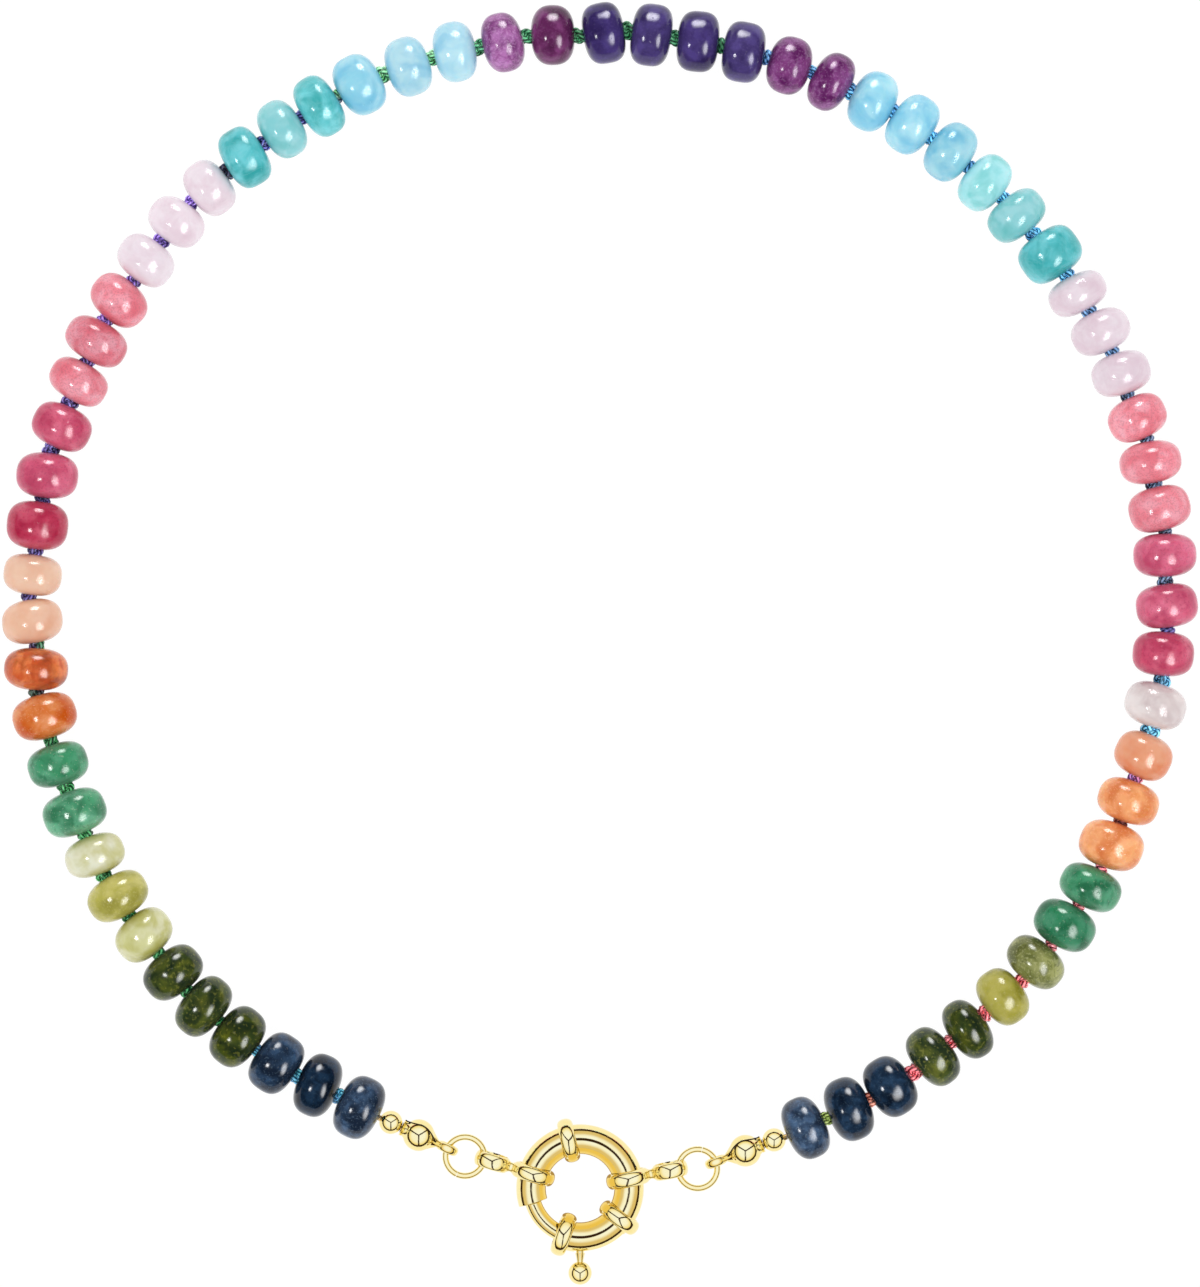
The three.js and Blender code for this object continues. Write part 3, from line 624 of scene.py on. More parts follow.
# Stone finishes. Sizes are in mm, and shares and strengths run from 0 to 1.
# cloud and deep patches: colour, size, share and softness. speck and fleck: colour, size,
# share and strength. vein: colour, size, width and strength. edge, colour painted near the two
# faces: painted shade from the neighbouring stones on the kinds where it is darker, and painted
# light shining through the rim on the kinds where it is lighter: colour and strength. The tone
# values say what a deeper stone of the kind changes.
plainStone = {"toneDepth": 0.22, "toneRichness": 0.1, "toneTurn": 0.0,
              "gloss": 0.14, "shine": 0.32, "depth": 0.25, "reach": 1.2}
stoneKinds = {
    "navy": {"body": "#21344c", "cloud": ("#35506f", 0.9, 0.45, 0.2), "deep": ("#0f1c2e", 3.0, 0.5, 0.14),
        "speck": ("#62788a", 0.24, 0.12, 0.25), "edge": ("#141c2b", 0.7), "toneDepth": 0.55, "depth": 0.06},
    "moss": {"body": "#3a4a22", "cloud": ("#646922", 1.8, 0.4, 0.25), "deep": ("#202e1b", 2.4, 0.5, 0.2),
        "speck": ("#aba84f", 0.45, 0.18, 0.2), "fleck": ("#131a11", 0.38, 0.1, 0.45),
        "edge": ("#303c2c", 0.6), "toneDepth": 0.3, "depth": 0.12},
    "lemon": {"body": "#cdcd99", "cloud": ("#d9d8b8", 2.6, 0.5, 0.14), "deep": ("#b5b364", 4.0, 0.35, 0.14),
        "edge": ("#a6a344", 0.75), "depth": 0.4},
    "olive": {"body": "#a9a449", "cloud": ("#bcb564", 2.0, 0.5, 0.14), "deep": ("#908b35", 4.0, 0.35, 0.14),
        "speck": ("#cdc684", 0.28, 0.16, 0.2), "depth": 0.35},
    "cream": {"body": "#d6d3b6", "cloud": ("#dedfca", 2.6, 0.5, 0.14), "deep": ("#c5c38c", 4.0, 0.35, 0.14),
        "edge": ("#b0ad50", 0.8), "depth": 0.4},
    "aventurine": {"body": "#3e9367", "cloud": ("#63a785", 3.2, 0.42, 0.2),
        "deep": ("#286e4b", 3.0, 0.4, 0.14), "speck": ("#d5dcc3", 0.28, 0.0, 0.2),
        "fleck": ("#215539", 0.38, 0.1, 0.35), "edge": ("#7aa086", 0.4), "toneDepth": 0.3, "depth": 0.3},
    "orange": {"body": "#e28d52", "cloud": ("#eda672", 2.0, 0.5, 0.14),
        "deep": ("#ce6b35", 4.0, 0.35, 0.14), "speck": ("#f5c495", 0.28, 0.16, 0.25), "toneDepth": 0.3,
        "toneRichness": 0.12, "toneTurn": -0.014, "depth": 0.4},
    "carnelian": {"body": "#c9592e", "cloud": ("#e2814b", 1.8, 0.5, 0.14),
        "deep": ("#92391c", 4.0, 0.4, 0.14), "speck": ("#6c2a17", 0.6, 0.3, 0.12), "edge": ("#d98957", 0.4),
        "depth": 0.3},
    "peach": {"body": "#e5b89c", "cloud": ("#e8c2aa", 2.6, 0.5, 0.25), "deep": ("#dea78b", 4.0, 0.35, 0.25),
        "toneDepth": 0.04, "toneRichness": 0.4, "toneTurn": -0.014, "depth": 0.45},
    "raspberry": {"body": "#ce5373", "cloud": ("#da6f8a", 2.4, 0.45, 0.2),
        "deep": ("#b43d5d", 2.8, 0.45, 0.2), "speck": ("#8b2845", 0.28, 0.22, 0.25),
        "edge": ("#c66a80", 0.4), "toneRichness": 0.1, "toneTurn": 0.01, "depth": 0.3},
    "salmon": {"body": "#ed8d9b", "cloud": ("#efa9b6", 2.2, 0.5, 0.14), "deep": ("#dd707f", 4.0, 0.4, 0.14),
        "speck": ("#9f6670", 0.24, 0.34, 0.28), "edge": ("#e58791", 0.4), "depth": 0.35},
    "rose": {"body": "#e2d2db", "cloud": ("#e6dae2", 2.6, 0.5, 0.14), "deep": ("#dcc8d3", 4.0, 0.3, 0.14),
        "vein": ("#efe9ed", 3.0, 0.03, 0.15), "toneDepth": 0.1, "depth": 0.5},
    "teal": {"body": "#5cc2c9", "cloud": ("#7bd3db", 2.6, 0.45, 0.2), "deep": ("#36a4a6", 3.0, 0.45, 0.2),
        "vein": ("#a4e0e7", 2.2, 0.03, 0.1), "toneDepth": 0.3, "depth": 0.35},
    "aqua": {"body": "#90d3d8", "cloud": ("#a7dde2", 2.6, 0.5, 0.14), "deep": ("#73c5c6", 4.0, 0.35, 0.14),
        "depth": 0.45},
    "sky": {"body": "#96d4e6", "cloud": ("#aedeeb", 2.6, 0.5, 0.14), "deep": ("#7bc3df", 4.0, 0.35, 0.14),
        "depth": 0.45},
    "pale_sky": {"body": "#aad9ea", "cloud": ("#bce2ed", 2.6, 0.5, 0.14),
        "deep": ("#92cae2", 4.0, 0.35, 0.14), "depth": 0.45},
    "orchid": {"body": "#934f8f", "cloud": ("#aa6dab", 1.5, 0.4, 0.2), "deep": ("#6d2e6b", 2.2, 0.45, 0.14),
        "speck": ("#d0a2d0", 0.3, 0.25, 0.2), "vein": ("#602661", 1.4, 0.03, 0.35), "toneDepth": 0.35,
        "depth": 0.25},
    "plum": {"body": "#5f2455", "cloud": ("#7a3c71", 1.6, 0.5, 0.14), "deep": ("#44163c", 4.0, 0.45, 0.14),
        "speck": ("#8c5283", 0.28, 0.2, 0.2), "depth": 0.18},
    "indigo": {"body": "#3f3169", "cloud": ("#4d3e7f", 1.6, 0.5, 0.14), "deep": ("#2c2051", 4.0, 0.4, 0.14),
        "speck": ("#625390", 0.28, 0.2, 0.15), "edge": ("#302755", 0.5), "depth": 0.15},
    "milk_rose": {"body": "#d7cbca", "cloud": ("#e3dad9", 2.6, 0.5, 0.14),
        "deep": ("#cabbbc", 4.0, 0.35, 0.14), "depth": 0.5},
    "sage": {"body": "#7e8448", "cloud": ("#a1a469", 1.8, 0.5, 0.14), "deep": ("#5b6030", 4.0, 0.45, 0.14),
        "speck": ("#c2c38e", 0.28, 0.22, 0.3), "vein": ("#4c532c", 2.0, 0.03, 0.5), "depth": 0.2},
}
# What is the same for all kinds
stoneGrain = {"index": 1.54, "shifts": {"cloud": (3, 7, 1), "deep": (-5, 2, 9)}, "patchSpread": 0.3,
              "grainSpread": 0.35, "edgeSize": 1.6, "edgeUneven": 0.5, "edgeLevel": 0.75, "edgeSoft": 0.3,
              "fleckStretch": (1.0, 0.32, 0.6), "fleckTurn": (20, 0, 35), "fleckSoft": 0.03,
              "speckSoft": 0.05, "polishSize": 1.8, "polishRough": 0.08, "pitSize": 0.5, "pitLevel": 0.74,
              "pitSoft": 0.04, "pitDepth": 0.6, "bump": 0.035}


def stoneFinish(kind):
    look, grain = {**plainStone, **stoneKinds[kind]}, stoneGrain
    fixed = {"Subsurface Weight": look["depth"], "Subsurface Radius": tint(look["body"])[:3],
             "Subsurface Scale": look["reach"] * mm, "IOR": grain["index"],
             "Specular IOR Level": look["shine"]}
    material, recipe, shader = finish("stone_" + kind, fixed)
    place = recipe.place()
    layers = []
    for part, shift in grain["shifts"].items():
        code, size, share, soft = look[part]
        shifted = recipe.add("ShaderNodeMapping", None, {"Vector": place, "Location": shift})
        patches = recipe.noise(shifted, size, 3.0, 0.5)
        layers.append((recipe.covers(patches, share, soft, grain["patchSpread"]), code))
    # Near the two faces the colour is painted: painted shade where the neighbouring stones sit on the kinds
    # whose edge colour is darker, painted light through the rim on those whose edge colour is lighter.
    if "edge" in look:
        code, strength = look["edge"]
        uneven = (recipe.noise(place, grain["edgeSize"], 2.0) - 0.5) * grain["edgeUneven"]
        faceShadeAndGlow = recipe.above(recipe.painted("face") + uneven, grain["edgeLevel"], grain["edgeSoft"])
        layers.append((faceShadeAndGlow * strength, code))
    if "vein" in look:
        code, size, width, strength = look["vein"]
        lines = abs(recipe.noise(place, size, 4.0, 1.2) - 0.5)
        layers.append(((1 - recipe.above(lines, width, width)) * strength, code))
    if "fleck" in look:
        code, size, share, strength = look["fleck"]
        drawn = recipe.noise(recipe.stretched(place, grain["fleckStretch"], grain["fleckTurn"]), size, 2.0)
        flecks = recipe.covers(drawn, share, grain["fleckSoft"], grain["grainSpread"])
        layers.append((flecks * strength, code))
    if "speck" in look:
        code, size, share, strength = look["speck"]
        drawn = recipe.noise(place, size, 1.5)
        specks = recipe.covers(drawn, share, grain["speckSoft"], grain["grainSpread"])
        layers.append((specks * strength, code))
    colour = tint(look["body"])
    for amount, code in layers:
        colour = recipe.blend(amount, colour, tint(code))
    tone = recipe.painted("tone")
    colour = recipe.add("ShaderNodeHueSaturation", None, {
        "Hue": 0.5 + tone * look["toneTurn"], "Saturation": 1 + tone * look["toneRichness"],
        "Value": 1 - tone * look["toneDepth"], "Color": colour})
    polish = recipe.noise(place, grain["polishSize"], 2.0)
    pits = recipe.above(recipe.noise(place, grain["pitSize"], 1.0), grain["pitLevel"], grain["pitSoft"])
    rough = look["gloss"] + (polish - 0.5) * grain["polishRough"]
    recipe.feed(shader, {"Base Color": colour, "Roughness": rough,
                         "Normal": recipe.bump(polish - pits * grain["pitDepth"], grain["bump"])})
    return material


# A closed outline of one stone, through its rounded rim, its dished mouth and its hole
def stoneOutline(radius, half, squareness):
    mouth, hole, depth = stoneSizes["mouth"], stoneSizes["hole"], stoneSizes["mouthDepth"]
    start = math.asin((mouth / radius) ** (squareness / 2))
    angles = np.linspace(start, math.pi - start, stoneSizes["traced"])
    along = -half * np.sign(np.cos(angles)) * np.abs(np.cos(angles)) ** (2 / squareness)
    across = radius * np.sin(angles) ** (2 / squareness)
    runs = np.concatenate([[0], np.cumsum(np.hypot(np.diff(along), np.diff(across)))])
    even = np.linspace(0, runs[-1], stoneSizes["along"] + 1)
    outside = list(zip(np.interp(even, runs, along), np.interp(even, runs, across)))
    face = outside[-1][0]
    inside = [(face - stoneSizes["lipDepth"], mouth - stoneSizes["lipWidth"]),
              (face - depth * stoneSizes["dish"], hole + stoneSizes["holeRim"]), (face - depth, hole)]
    return outside + inside + [(0, hole)] + [(-a, r) for a, r in reversed(inside)]


def makeStone(number, stone, material, nodes):
    row = stone["row"]
    draw = random.Random(100 + number)
    radius, half = stoneRadius(row), halfThickness(row)
    vary = stoneSizes["squareVary"]
    squareness = stoneSizes["square"].get(row[0], stoneSizes["squareElse"]) + draw.uniform(-vary, vary)
    outline = stoneOutline(radius, half, squareness)
    side = np.cross(up, stone["axis"])
    points = np.array([[(a, r * math.cos(t), r * math.sin(t)) for t in circle(stoneSizes["around"])]
                       for a, r in outline])
    swell = np.zeros(points.shape[:2])
    for _ in range(stoneSizes["waves"]):
        way = np.array([draw.gauss(0, 1) for _ in range(3)])
        phase = draw.uniform(0, 2 * math.pi)
        turns = points @ way / np.linalg.norm(way) * stoneSizes["waveTurn"] + phase
        swell += stoneSizes["waviness"] * np.sin(turns)
    points = points * (1 + np.minimum(swell, stoneSizes["swellMost"]) - stoneSizes["shrink"])[:, :, None]
    points[:, :, 2] *= stoneSizes["heightShare"]
    world = stone["centre"] + (points[:, :, 0:1] * stone["axis"] + points[:, :, 1:2] * side
                               + points[:, :, 2:3] * up) * mm
    world[:, :, 2] -= world[:, :, 2].min()
    face = np.clip(np.abs(points[:, :, 0]) / half, 0, 1)[:, :, None]
    shape = Shape()
    shape.skin(world, True, face=face, tone=np.full(face.shape, row[5]))
    piece = shape.build(f"stone_{number:02d}_{row[0]}", material, "stone_" + row[0], nodes, sharp=60)
    # The first and the last stone stay out of mirrors, so that the gold beside them is bright.
    piece.visible_glossy = number not in (1, len(stoneChart))


def makeStones():
    finishes = {kind: stoneFinish(kind) for kind in stoneKinds}
    for i, stone in enumerate(stones):
        node = "string_left" if i < leftStones else "string_right"
        makeStone(i + 1, stone, finishes[stone["row"][0]], [node])


makeStones()
print("stones made")


# Knotted silk. A row of colours is the main one, the second one and for how many knots.

thread = {"cord": 0.36, "knotWire": 0.31, "knotHeart": 0.52, "knotSwell": 0.22, "knotOver": 0.46,
          "knotLeast": 0.16, "knotScale": (0.96, 1.14), "sides": 12, "steps": 132, "strands": 3,
          "ply": 0.13, "plyTurns": 20, "cordTurn": 0.9, "endKnot": 1.5, "endHalf": 0.7, "endSteps": 12,
          "endColour": "#c09a3a"}
threadColours = [
    ("#43d9f7", "#2a95cf", 3), ("#2fa85a", "#1b7a42", 8), ("#365d4c", "#4a365b", 1),
    ("#39ab5f", "#4b2e6e", 1), ("#5f53b2", "#362c64", 5), ("#8a5bd9", "#55369a", 5),
    ("#4a567a", "#2a2547", 1), ("#6a67d9", "#3a368b", 2), ("#63be5d", "#714aa6", 1),
    ("#4ab468", "#b9e8b0", 2), ("#2fa668", "#1b7d47", 6), ("#43b2f7", "#2a73c6", 1),
    ("#47cff7", "#348bd9", 1), ("#3cc4f7", "#2386c1", 7), ("#5da6de", "#3971a6", 2),
    ("#5d8ab5", "#37506e", 5), ("#716ecf", "#3c50a6", 1), ("#43c6f1", "#2577a1", 2),
    ("#995dc1", "#d95d84", 1), ("#ab5045", "#712f2a", 1), ("#f795ab", "#f75d7a", 1),
    ("#f7717f", "#f64a5d", 6), ("#f7845d", "#f75d42", 1), ("#b1cd4a", "#73972f", 1),
]


silkLook = {"shine": 0.4, "saturation": 0.8, "gain": 2.4, "shade": (0.16, 0.16, 0.2, 1),
            "fibreSize": 0.09, "rough": 0.3, "fibreRough": 0.25, "strandRise": 0.6, "bump": 0.03}


def silkFinish():
    material, recipe, shader = finish("knottedSilk", {"Specular IOR Level": silkLook["shine"]})
    yarn = recipe.painted("yarn", out=0)
    # The crowns of the strands get a painted highlight, a lighter copy of the yarn, and the grooves between
    # them get a painted shade.
    strands = recipe.painted("strand").maths("SINE", recipe.painted("strand"))
    bright = recipe.add("ShaderNodeHueSaturation", None, {
        "Saturation": silkLook["saturation"], "Value": silkLook["gain"], "Color": yarn})
    lit = recipe.blend(recipe.above(strands, 0.4, 0.4), yarn, bright)
    between = 1 - recipe.above(strands, -0.5, 0.35)
    shaded = recipe.add("ShaderNodeMix", {"data_type": "RGBA", "blend_type": "MULTIPLY"},
                        {0: between, 6: lit, 7: silkLook["shade"]}, out=2)
    fibres = recipe.noise(recipe.place(), silkLook["fibreSize"], 2.0)
    height = fibres + strands * silkLook["strandRise"]
    recipe.feed(shader, {"Base Color": shaded, "Normal": recipe.bump(height, silkLook["bump"]),
                         "Roughness": silkLook["rough"] + fibres * silkLook["fibreRough"]})
    return material


def threadColour(gap):
    rows = [row for row in threadColours for _ in range(row[2])]
    return [tint(code) for code in rows[gap][:2]]


# A small closed knot of twisted cord, squeezed between two stones
def addKnot(shape, middle, axis, half, scale, colours, spin):
    side = np.cross(up, axis)
    u = circle(thread["steps"])
    reach = (thread["knotHeart"] + thread["knotSwell"] * np.cos(3 * u)) * scale
    turn = 2 * u + spin
    path = (middle + np.outer(half * np.sin(3 * u), axis) * mm
            + np.outer(reach * np.cos(turn), side) * mm + np.outer(reach * np.sin(turn), up) * mm)
    second = 0.5 + 0.5 * np.sin(u * 2 + spin * 3)
    yarn = np.array(colours[0]) * (1 - second[:, None]) + np.array(colours[1]) * second[:, None]
    addStrands(shape, path, thread["knotWire"] * scale, thread["plyTurns"] * u, yarn, True, axis)


# A cord whose strands stand out of its round and wind along it
def addStrands(shape, path, radius, wind, yarn, closed=False, start=up):
    strand = thread["strands"] * circle(thread["sides"])[None, :] + wind[:, None]
    radii = radius * mm * (1 + thread["ply"] * np.cos(strand))
    shape.wire(path, radii, thread["sides"], closed, start, strand=strand[:, :, None],
               yarn=np.broadcast_to(yarn[:, None, :], (*radii.shape, 4)))


def addCord(shape, path, colours):
    wind = np.arange(len(path)) * thread["cordTurn"]
    addStrands(shape, path, thread["cord"], wind, np.array([colours[0]] * len(path)))


def faceCentre(stone, way):
    return stone["centre"] + stone["axis"] * halfThickness(stone["row"]) * way * mm


def makeThread(side, first, last, material):
    shape = Shape()
    draw = random.Random(len(side))
    for gap in range(first, last):
        start, end = faceCentre(stones[gap], 1), faceCentre(stones[gap + 1], -1)
        colours = threadColour(gap)
        along = end - start
        length = np.linalg.norm(along) / mm
        half = max(length / 2 + thread["knotOver"] - thread["knotWire"], thread["knotLeast"])
        scale = draw.uniform(*thread["knotScale"])
        flat = unit(along * np.array([1, 1, 0]))
        addKnot(shape, (start + end) / 2, flat, half, scale, colours, draw.uniform(0, 6))
        addCord(shape, [stones[gap]["centre"], start, end, stones[gap + 1]["centre"]], colours)
    layout = layouts[side]
    end = faceCentre(stones[0], -1) if side == "left" else faceCentre(stones[-1], 1)
    cup = claspCentre + layout["cup"] * mm
    colours = [tint(thread["endColour"])] * 2
    addCord(shape, [cup + (end - cup) * t for t in np.linspace(0, 1, thread["endSteps"])], colours)
    addKnot(shape, cup, layout["slope"], thread["endHalf"], thread["endKnot"], colours, 0)
    shape.build("silk_" + side, material, "thread", ["string_" + side], sharp=80)


silk = silkFinish()
makeThread("left", 0, leftStones, silk)
makeThread("right", leftStones, len(stones) - 1, silk)
print("thread made")


# Gold

goldLook = {"colour": "#fbecad", "deeper": "#fae7a0", "seam": "#2b1a06", "gloss": 0.035, "index": 1.45,
            "smearSize": 2.5, "smearSoft": 0.2, "smearRough": 0.03, "smearRise": 2.0, "scratchSize": 0.12,
            "scratchStretch": (1.0, 0.06, 1.0), "scratchTurn": (0, 0, 25), "scratchRough": 0.04,
            "bump": 0.004}


def goldFinish():
    look, soft = goldLook, goldLook["smearSoft"]
    material, recipe, shader = finish("polishedGold", {"Metallic": 1.0, "IOR": look["index"]})
    place = recipe.place()
    smears = recipe.noise(place, look["smearSize"], 3.0, 0.8)
    drawn = recipe.stretched(place, look["scratchStretch"], look["scratchTurn"])
    scratches = recipe.noise(drawn, look["scratchSize"], 2.0)
    colour = recipe.blend(recipe.above(smears, 0.5, soft), tint(look["colour"]), tint(look["deeper"]))
    # Painted shade: the wire along the seam is coloured dark for the crease where the two shells meet.
    colour = recipe.blend(recipe.painted("seam"), colour, tint(look["seam"]))
    rough = look["gloss"] + recipe.above(smears, 0.55, soft) * look["smearRough"]
    recipe.feed(shader, {"Base Color": colour, "Roughness": rough + (scratches - 0.5) * look["scratchRough"],
                         "Normal": recipe.bump(scratches + smears * look["smearRise"], look["bump"])})
    return material


gold = goldFinish()


def castGold(shape, name, node, *lit, **options):
    return shape.build(name, gold, "gold", [node], lit=lit, **options)


def onRing(angle, radius=None):
    return claspCentre + direction(angle) * (radius or clasp["ringRadius"]) * mm


# The pipe is a grid of cells round the ring, with the slot's cells left out.
def makePipe():
    tube, wall = clasp["tubeRadius"], clasp["tubeWall"]
    margin = math.degrees(clasp["slotHalfWidth"] / (clasp["ringRadius"] + tube))
    slotStart = clasp["stemAngle"] - 360 - margin
    slotEnd = slotStart + clasp["travel"] + 2 * margin
    slotTurn = math.degrees(math.asin(clasp["slotHalfWidth"] / tube))
    stops = [clasp["startAngle"], slotStart, slotEnd, clasp["mouthAngle"]]
    ways = [np.linspace(a, b, max(2, round((b - a) / clasp["cell"])), endpoint=False)
            for a, b in zip(stops, stops[1:])]
    around = np.concatenate([*ways, [stops[-1]]])
    section = np.concatenate([np.linspace(-slotTurn, slotTurn, clasp["slotCells"], endpoint=False),
                              np.linspace(slotTurn, 360 - slotTurn, clasp["wallCells"], endpoint=False)])
    shape = Shape()
    rows, columns = len(around), len(section)
    for radius in (tube, tube - wall):
        for angle in around:
            out = direction(angle)
            for turn in section:
                t = math.radians(turn)
                reach = out * (clasp["ringRadius"] + radius * math.cos(t)) + up * radius * math.sin(t)
                shape.points.append((claspCentre + reach * mm).tolist())
    inner = rows * columns

    def solid(i, j):
        inSlot = slotStart - 0.01 < around[i] < slotEnd - 0.01 and j % columns < clasp["slotCells"]
        return 0 <= i < rows - 1 and not inSlot

    for i in range(rows - 1):
        for j in range(columns):
            if not solid(i, j):
                continue
            beside = (j + 1) % columns
            a, b = i * columns + j, i * columns + beside
            c, d = b + columns, a + columns
            shape.faces.append([a, d, c, b])
            shape.faces.append([inner + k for k in (a, b, c, d)])
            for (p, q), joined in (((a, b), solid(i - 1, j)), ((c, d), solid(i + 1, j)),
                                   ((b, c), solid(i, j + 1)), ((d, a), solid(i, j - 1))):
                if not joined:
                    shape.faces.append([p, q, inner + q, inner + p])
    pipe = castGold(shape, "clasp_pipe", "clasp_tube", litPipe, litClasp)
    softenEdges(pipe, clasp["edge"])


# A small round on the sharp edges of a piece
def softenEdges(piece, width):
    bevel = piece.modifiers.new("edge", "BEVEL")
    bevel.width = width * mm
    bevel.segments = 3
    bevel.limit_method = "ANGLE"
    bevel.angle_limit = math.radians(50)
    bpy.context.view_layer.update()
    settled = bpy.data.meshes.new_from_object(piece.evaluated_get(bpy.context.evaluated_depsgraph_get()))
    piece.modifiers.clear()
    piece.data = settled


def makeBolt():
    shape = Shape()
    tip, tongue, plunger = clasp["tongueTip"], clasp["tongueRadius"], clasp["plungerRadius"]
    start, end = clasp["plungerStart"], clasp["plungerEnd"]
    stations = [(tip, 0.02)] + [(tip + turn, share * tongue) for turn, share in clasp["tongueEnd"]]
    stations += [(a, tongue) for a in np.linspace(tip + 4, start, 18)]
    stations += [(start + 1, plunger)] + [(a, plunger) for a in np.linspace(start + 2, end - 1, 12)]
    stations += [(end, plunger - 0.15), (end, 0.02)]
    shape.skin([[onRing(angle) + (direction(angle) * math.cos(t) - up * math.sin(t)) * radius * mm
                 for t in circle(clasp["around"])] for angle, radius in reversed(stations)])
    knob, stem, flare, reach = [clasp[key] for key in ("knobRadius", "stemRadius", "stemFlare", "knobReach")]
    seat, slim = clasp["tubeRadius"] + clasp["stemSeat"], stem * clasp["stemSlim"]
    neck = reach - math.sqrt(knob ** 2 - slim ** 2)
    outline = [(0, 0.01), (0, stem), (seat, stem), (seat, flare)]
    outline += [(seat + (neck - seat) * t, slim + (flare - slim) * (1 - t) ** clasp["flareCurve"])
                for t in np.linspace(0.08, 1, 10)]
    outline += [(reach - knob * 0.5, slim), (reach - knob * 0.5, 0.01)]
    out, foot = direction(clasp["stemAngle"]), onRing(clasp["stemAngle"])
    moving = {"body": "trigger", "sharp": 50}
    shape.turned(outline, foot, out, up, 40, closed=False)
    castGold(shape, "clasp_tongue", "clasp_bolt", litPipe, litClasp, **moving)
    shape = Shape()
    shape.turned(arc(knob, 0.01, math.pi - 0.01, 30, reach), foot, out, up, 40, closed=False)
    castGold(shape, "clasp_trigger", "clasp_bolt", litGold, **moving)


# A band's cut is a plump D, flat against the pipe
def addBand(shape, centre, angle, innerRadius, wall):
    turns = np.linspace(-math.pi / 2, math.pi / 2, 28)
    plump, shoulder, width = bands["plump"], bands["shoulder"], bands["width"]
    along = np.sign(np.sin(turns)) * np.abs(np.sin(turns)) ** plump * width / 2
    outward = innerRadius + wall * (shoulder + (1 - shoulder) * np.cos(turns) ** plump)
    foot = width * bands["foot"]
    outline = [(-foot, innerRadius), *zip(along, outward), (foot, innerRadius)]
    shape.turned(outline, centre, direction(angle + 90), direction(angle), 72)


def makeBands():
    for name, angle in bands["angles"].items():
        shape = Shape()
        addBand(shape, onRing(angle), angle, bands["innerRadius"], bands["wall"])
        castGold(shape, "band_" + name, name, litGold, litClasp)


# A band on the pipe and a smaller loop, then the waist that joins them
def makeEndLink(side):
    angle, reach = arms[side]["link"], layouts[side]["linkReach"]
    shape = Shape()
    addBand(shape, onRing(angle), angle, bands["innerRadius"], bands["wall"])
    loop = onRing(angle, clasp["ringRadius"] + reach)
    addBand(shape, loop, angle, bands["linkRadius"] - bands["linkWall"], bands["linkWall"])
    castGold(shape, "link_" + side, "end_link_" + side, litGold, litClasp)
    start = bands["innerRadius"] + bands["wall"] * bands["waistStart"]
    end = reach - bands["linkRadius"] + bands["linkWall"] * bands["waistEnd"]
    half = bands["waistThickness"] / 2
    out, across = direction(angle), direction(angle + 90)
    corners = [(-half, -half), (half, -half), (half, half), (-half, half)]
    section = rounded(corners, bands["waistRound"])
    grid = []
    for t in np.linspace(0, 1, 9):
        swell = 1 + bands["waistFlare"] * (2 * t - 1) ** 2
        centre = onRing(angle, clasp["ringRadius"] + start + (end - start) * t)
        grid.append([centre + (across * a + up * b) * swell * mm for a, b in section])
    shape = Shape()
    shape.skin(grid)
    castGold(shape, "waist_" + side, "end_link_" + side, litWire)


def makeJumpRing(side):
    centre = claspCentre + layouts[side]["jump"] * mm
    cut = math.degrees(rings["jumpCut"] / rings["jumpRadius"]) / 2
    turn = arms[side]["jump"] + rings["cutTurn"]
    angles = np.linspace(turn + cut, turn + 360 - cut, 96)
    path = [centre + direction(a) * rings["jumpRadius"] * mm for a in angles]
    shape = Shape()
    shape.wire(path, rings["jumpWire"] * mm, 20)
    castGold(shape, "ring_" + side, "jump_ring_" + side, litWire)


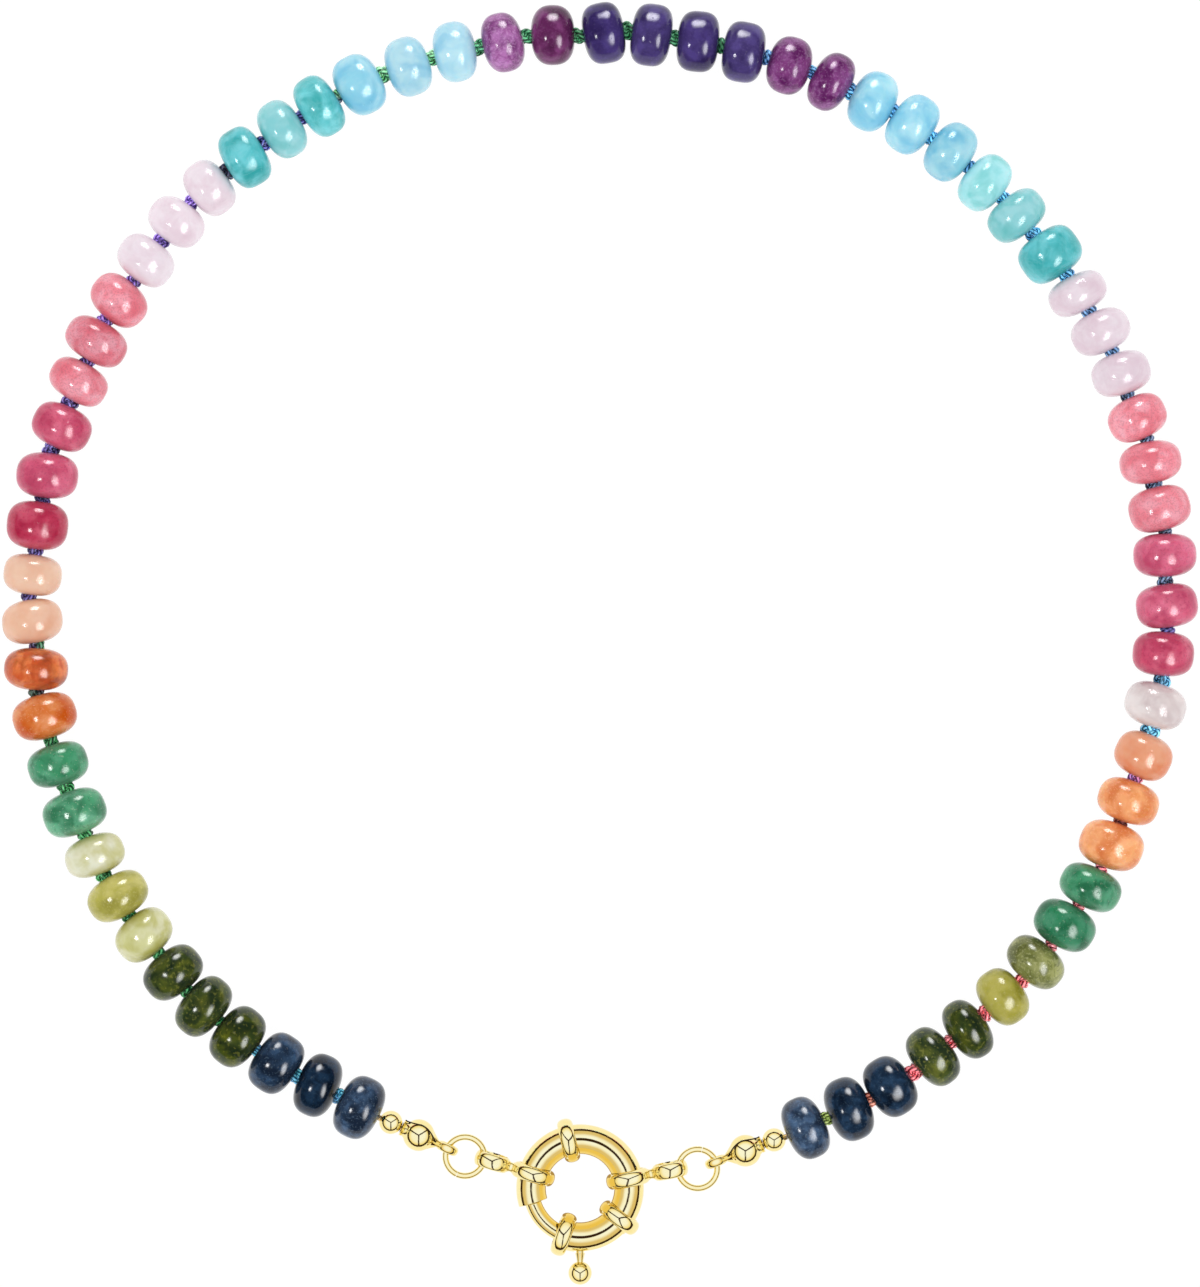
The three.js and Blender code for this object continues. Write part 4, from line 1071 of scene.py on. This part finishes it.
# A folded cup round the last knot: two shells that meet in a curved seam, with a ridged
# neck toward the stones, and behind it a tapered foot with a flat hook
def makeBeadTip(side):
    layout = layouts[side]
    cup = claspCentre + layout["cup"] * mm
    axis = layout["slope"]
    across = unit(np.cross(up, axis))
    above = np.cross(axis, across)
    radius, wall, neck = rings["tipRadius"], rings["tipWall"], rings["tipNeck"]
    inner = radius - wall
    shape = Shape()
    outline = arc(radius, 0.01, math.pi - math.asin(neck / radius), 30)
    low, high, mouth = neck * rings["ridgeLow"], neck * rings["ridgeHigh"], radius + rings["neckEnd"]
    for ridge in rings["ridges"]:
        outline += [(radius + ridge - rings["ridgeWidth"], low), (radius + ridge, high)]
    outline += [(mouth, low), (mouth, rings["hole"])]
    outline += arc(inner, math.pi - math.asin(rings["hole"] / inner), 0.01, 20)
    shape.turned(outline, cup, axis, across, 56, closed=False)

    upper = across if across[1] > 0 else -across
    footEnd, footStart = layout["tipReach"] - layout["loopRadius"], radius * rings["footSunk"]
    feet = np.linspace(0, 1, 18)
    swell = rings["loopWire"] + (rings["shankFoot"] - rings["loopWire"]) * feet ** rings["footCurve"]
    angles = circle(24)
    flatness = 1 / np.hypot(np.cos(angles), np.sin(angles) / rings["footFlat"])
    bulge = np.poly1d(np.polyfit(*np.array(rings["lip"]).T, 4))
    lip = []
    for along in np.linspace(rings["lip"][0][0], rings["lip"][-1][0], rings["lipSteps"]):
        aside = bulge(along)
        if along > radius * 0.85:
            body = neck * 1.02
        elif along > -radius * 0.8:
            body = math.sqrt(radius ** 2 - along ** 2)
        else:
            body = float(np.interp((footEnd + along) / (footEnd - footStart), feet, swell))
        height = math.sqrt(max(body ** 2 - aside ** 2, 0.1))
        lip.append(cup + (axis * along + upper * aside + above * height) * mm)
    # A thin wire along the seam, with painted shade in its colour for the crease between the shells.
    shape.wire(lip, rings["lipWire"] * mm, 10, start=above, seam=np.ones((rings["lipSteps"], 10, 1)))
    castGold(shape, "tip_" + side, "bead_tip_" + side, litGold)

    shape = Shape()
    path = [cup - axis * (footEnd + (footStart - footEnd) * t) * mm for t in feet]
    shape.wire(path, swell[:, None] * flatness * mm, 24, start=across)
    loopCentre = cup - axis * layout["tipReach"] * mm
    loop = [loopCentre + (axis * math.cos(t) + above * math.sin(t)) * layout["loopRadius"] * mm
            for t in circle(64)]
    wide, thick = rings["hookWidth"] / 2, rings["loopWire"]
    section = 1 / np.hypot(np.cos(angles) / wide, np.sin(angles) / thick)
    shape.wire(loop, np.broadcast_to(section, (64, 24)) * mm, 24, True, across)
    castGold(shape, "hook_" + side, "bead_tip_" + side, litWire)


def makeEndBall(side):
    radius, hole, lip = rings["ballRadius"], rings["ballHole"], rings["ballLip"]
    turn = math.asin((hole + lip) / radius)
    outline = arc(radius, turn, math.pi - turn, 40)
    face = outline[-1][0]
    mouth = [(face - lip / 4, hole + lip / 3), (face - lip, hole)]
    outline += mouth + [(0, hole)] + [(-along, reach) for along, reach in reversed(mouth)]
    shape = Shape()
    axis = layouts[side]["slope"]
    centre = claspCentre + layouts[side]["ball"] * mm
    shape.turned(outline, centre, axis, unit(np.cross(up, axis)), 56)
    castGold(shape, "ball_" + side, "end_ball_" + side, litGold)


makePipe()
makeBolt()
makeBands()
for side in arms:
    makeEndLink(side)
    makeJumpRing(side)
    makeBeadTip(side)
    makeEndBall(side)
print("gold pieces made")
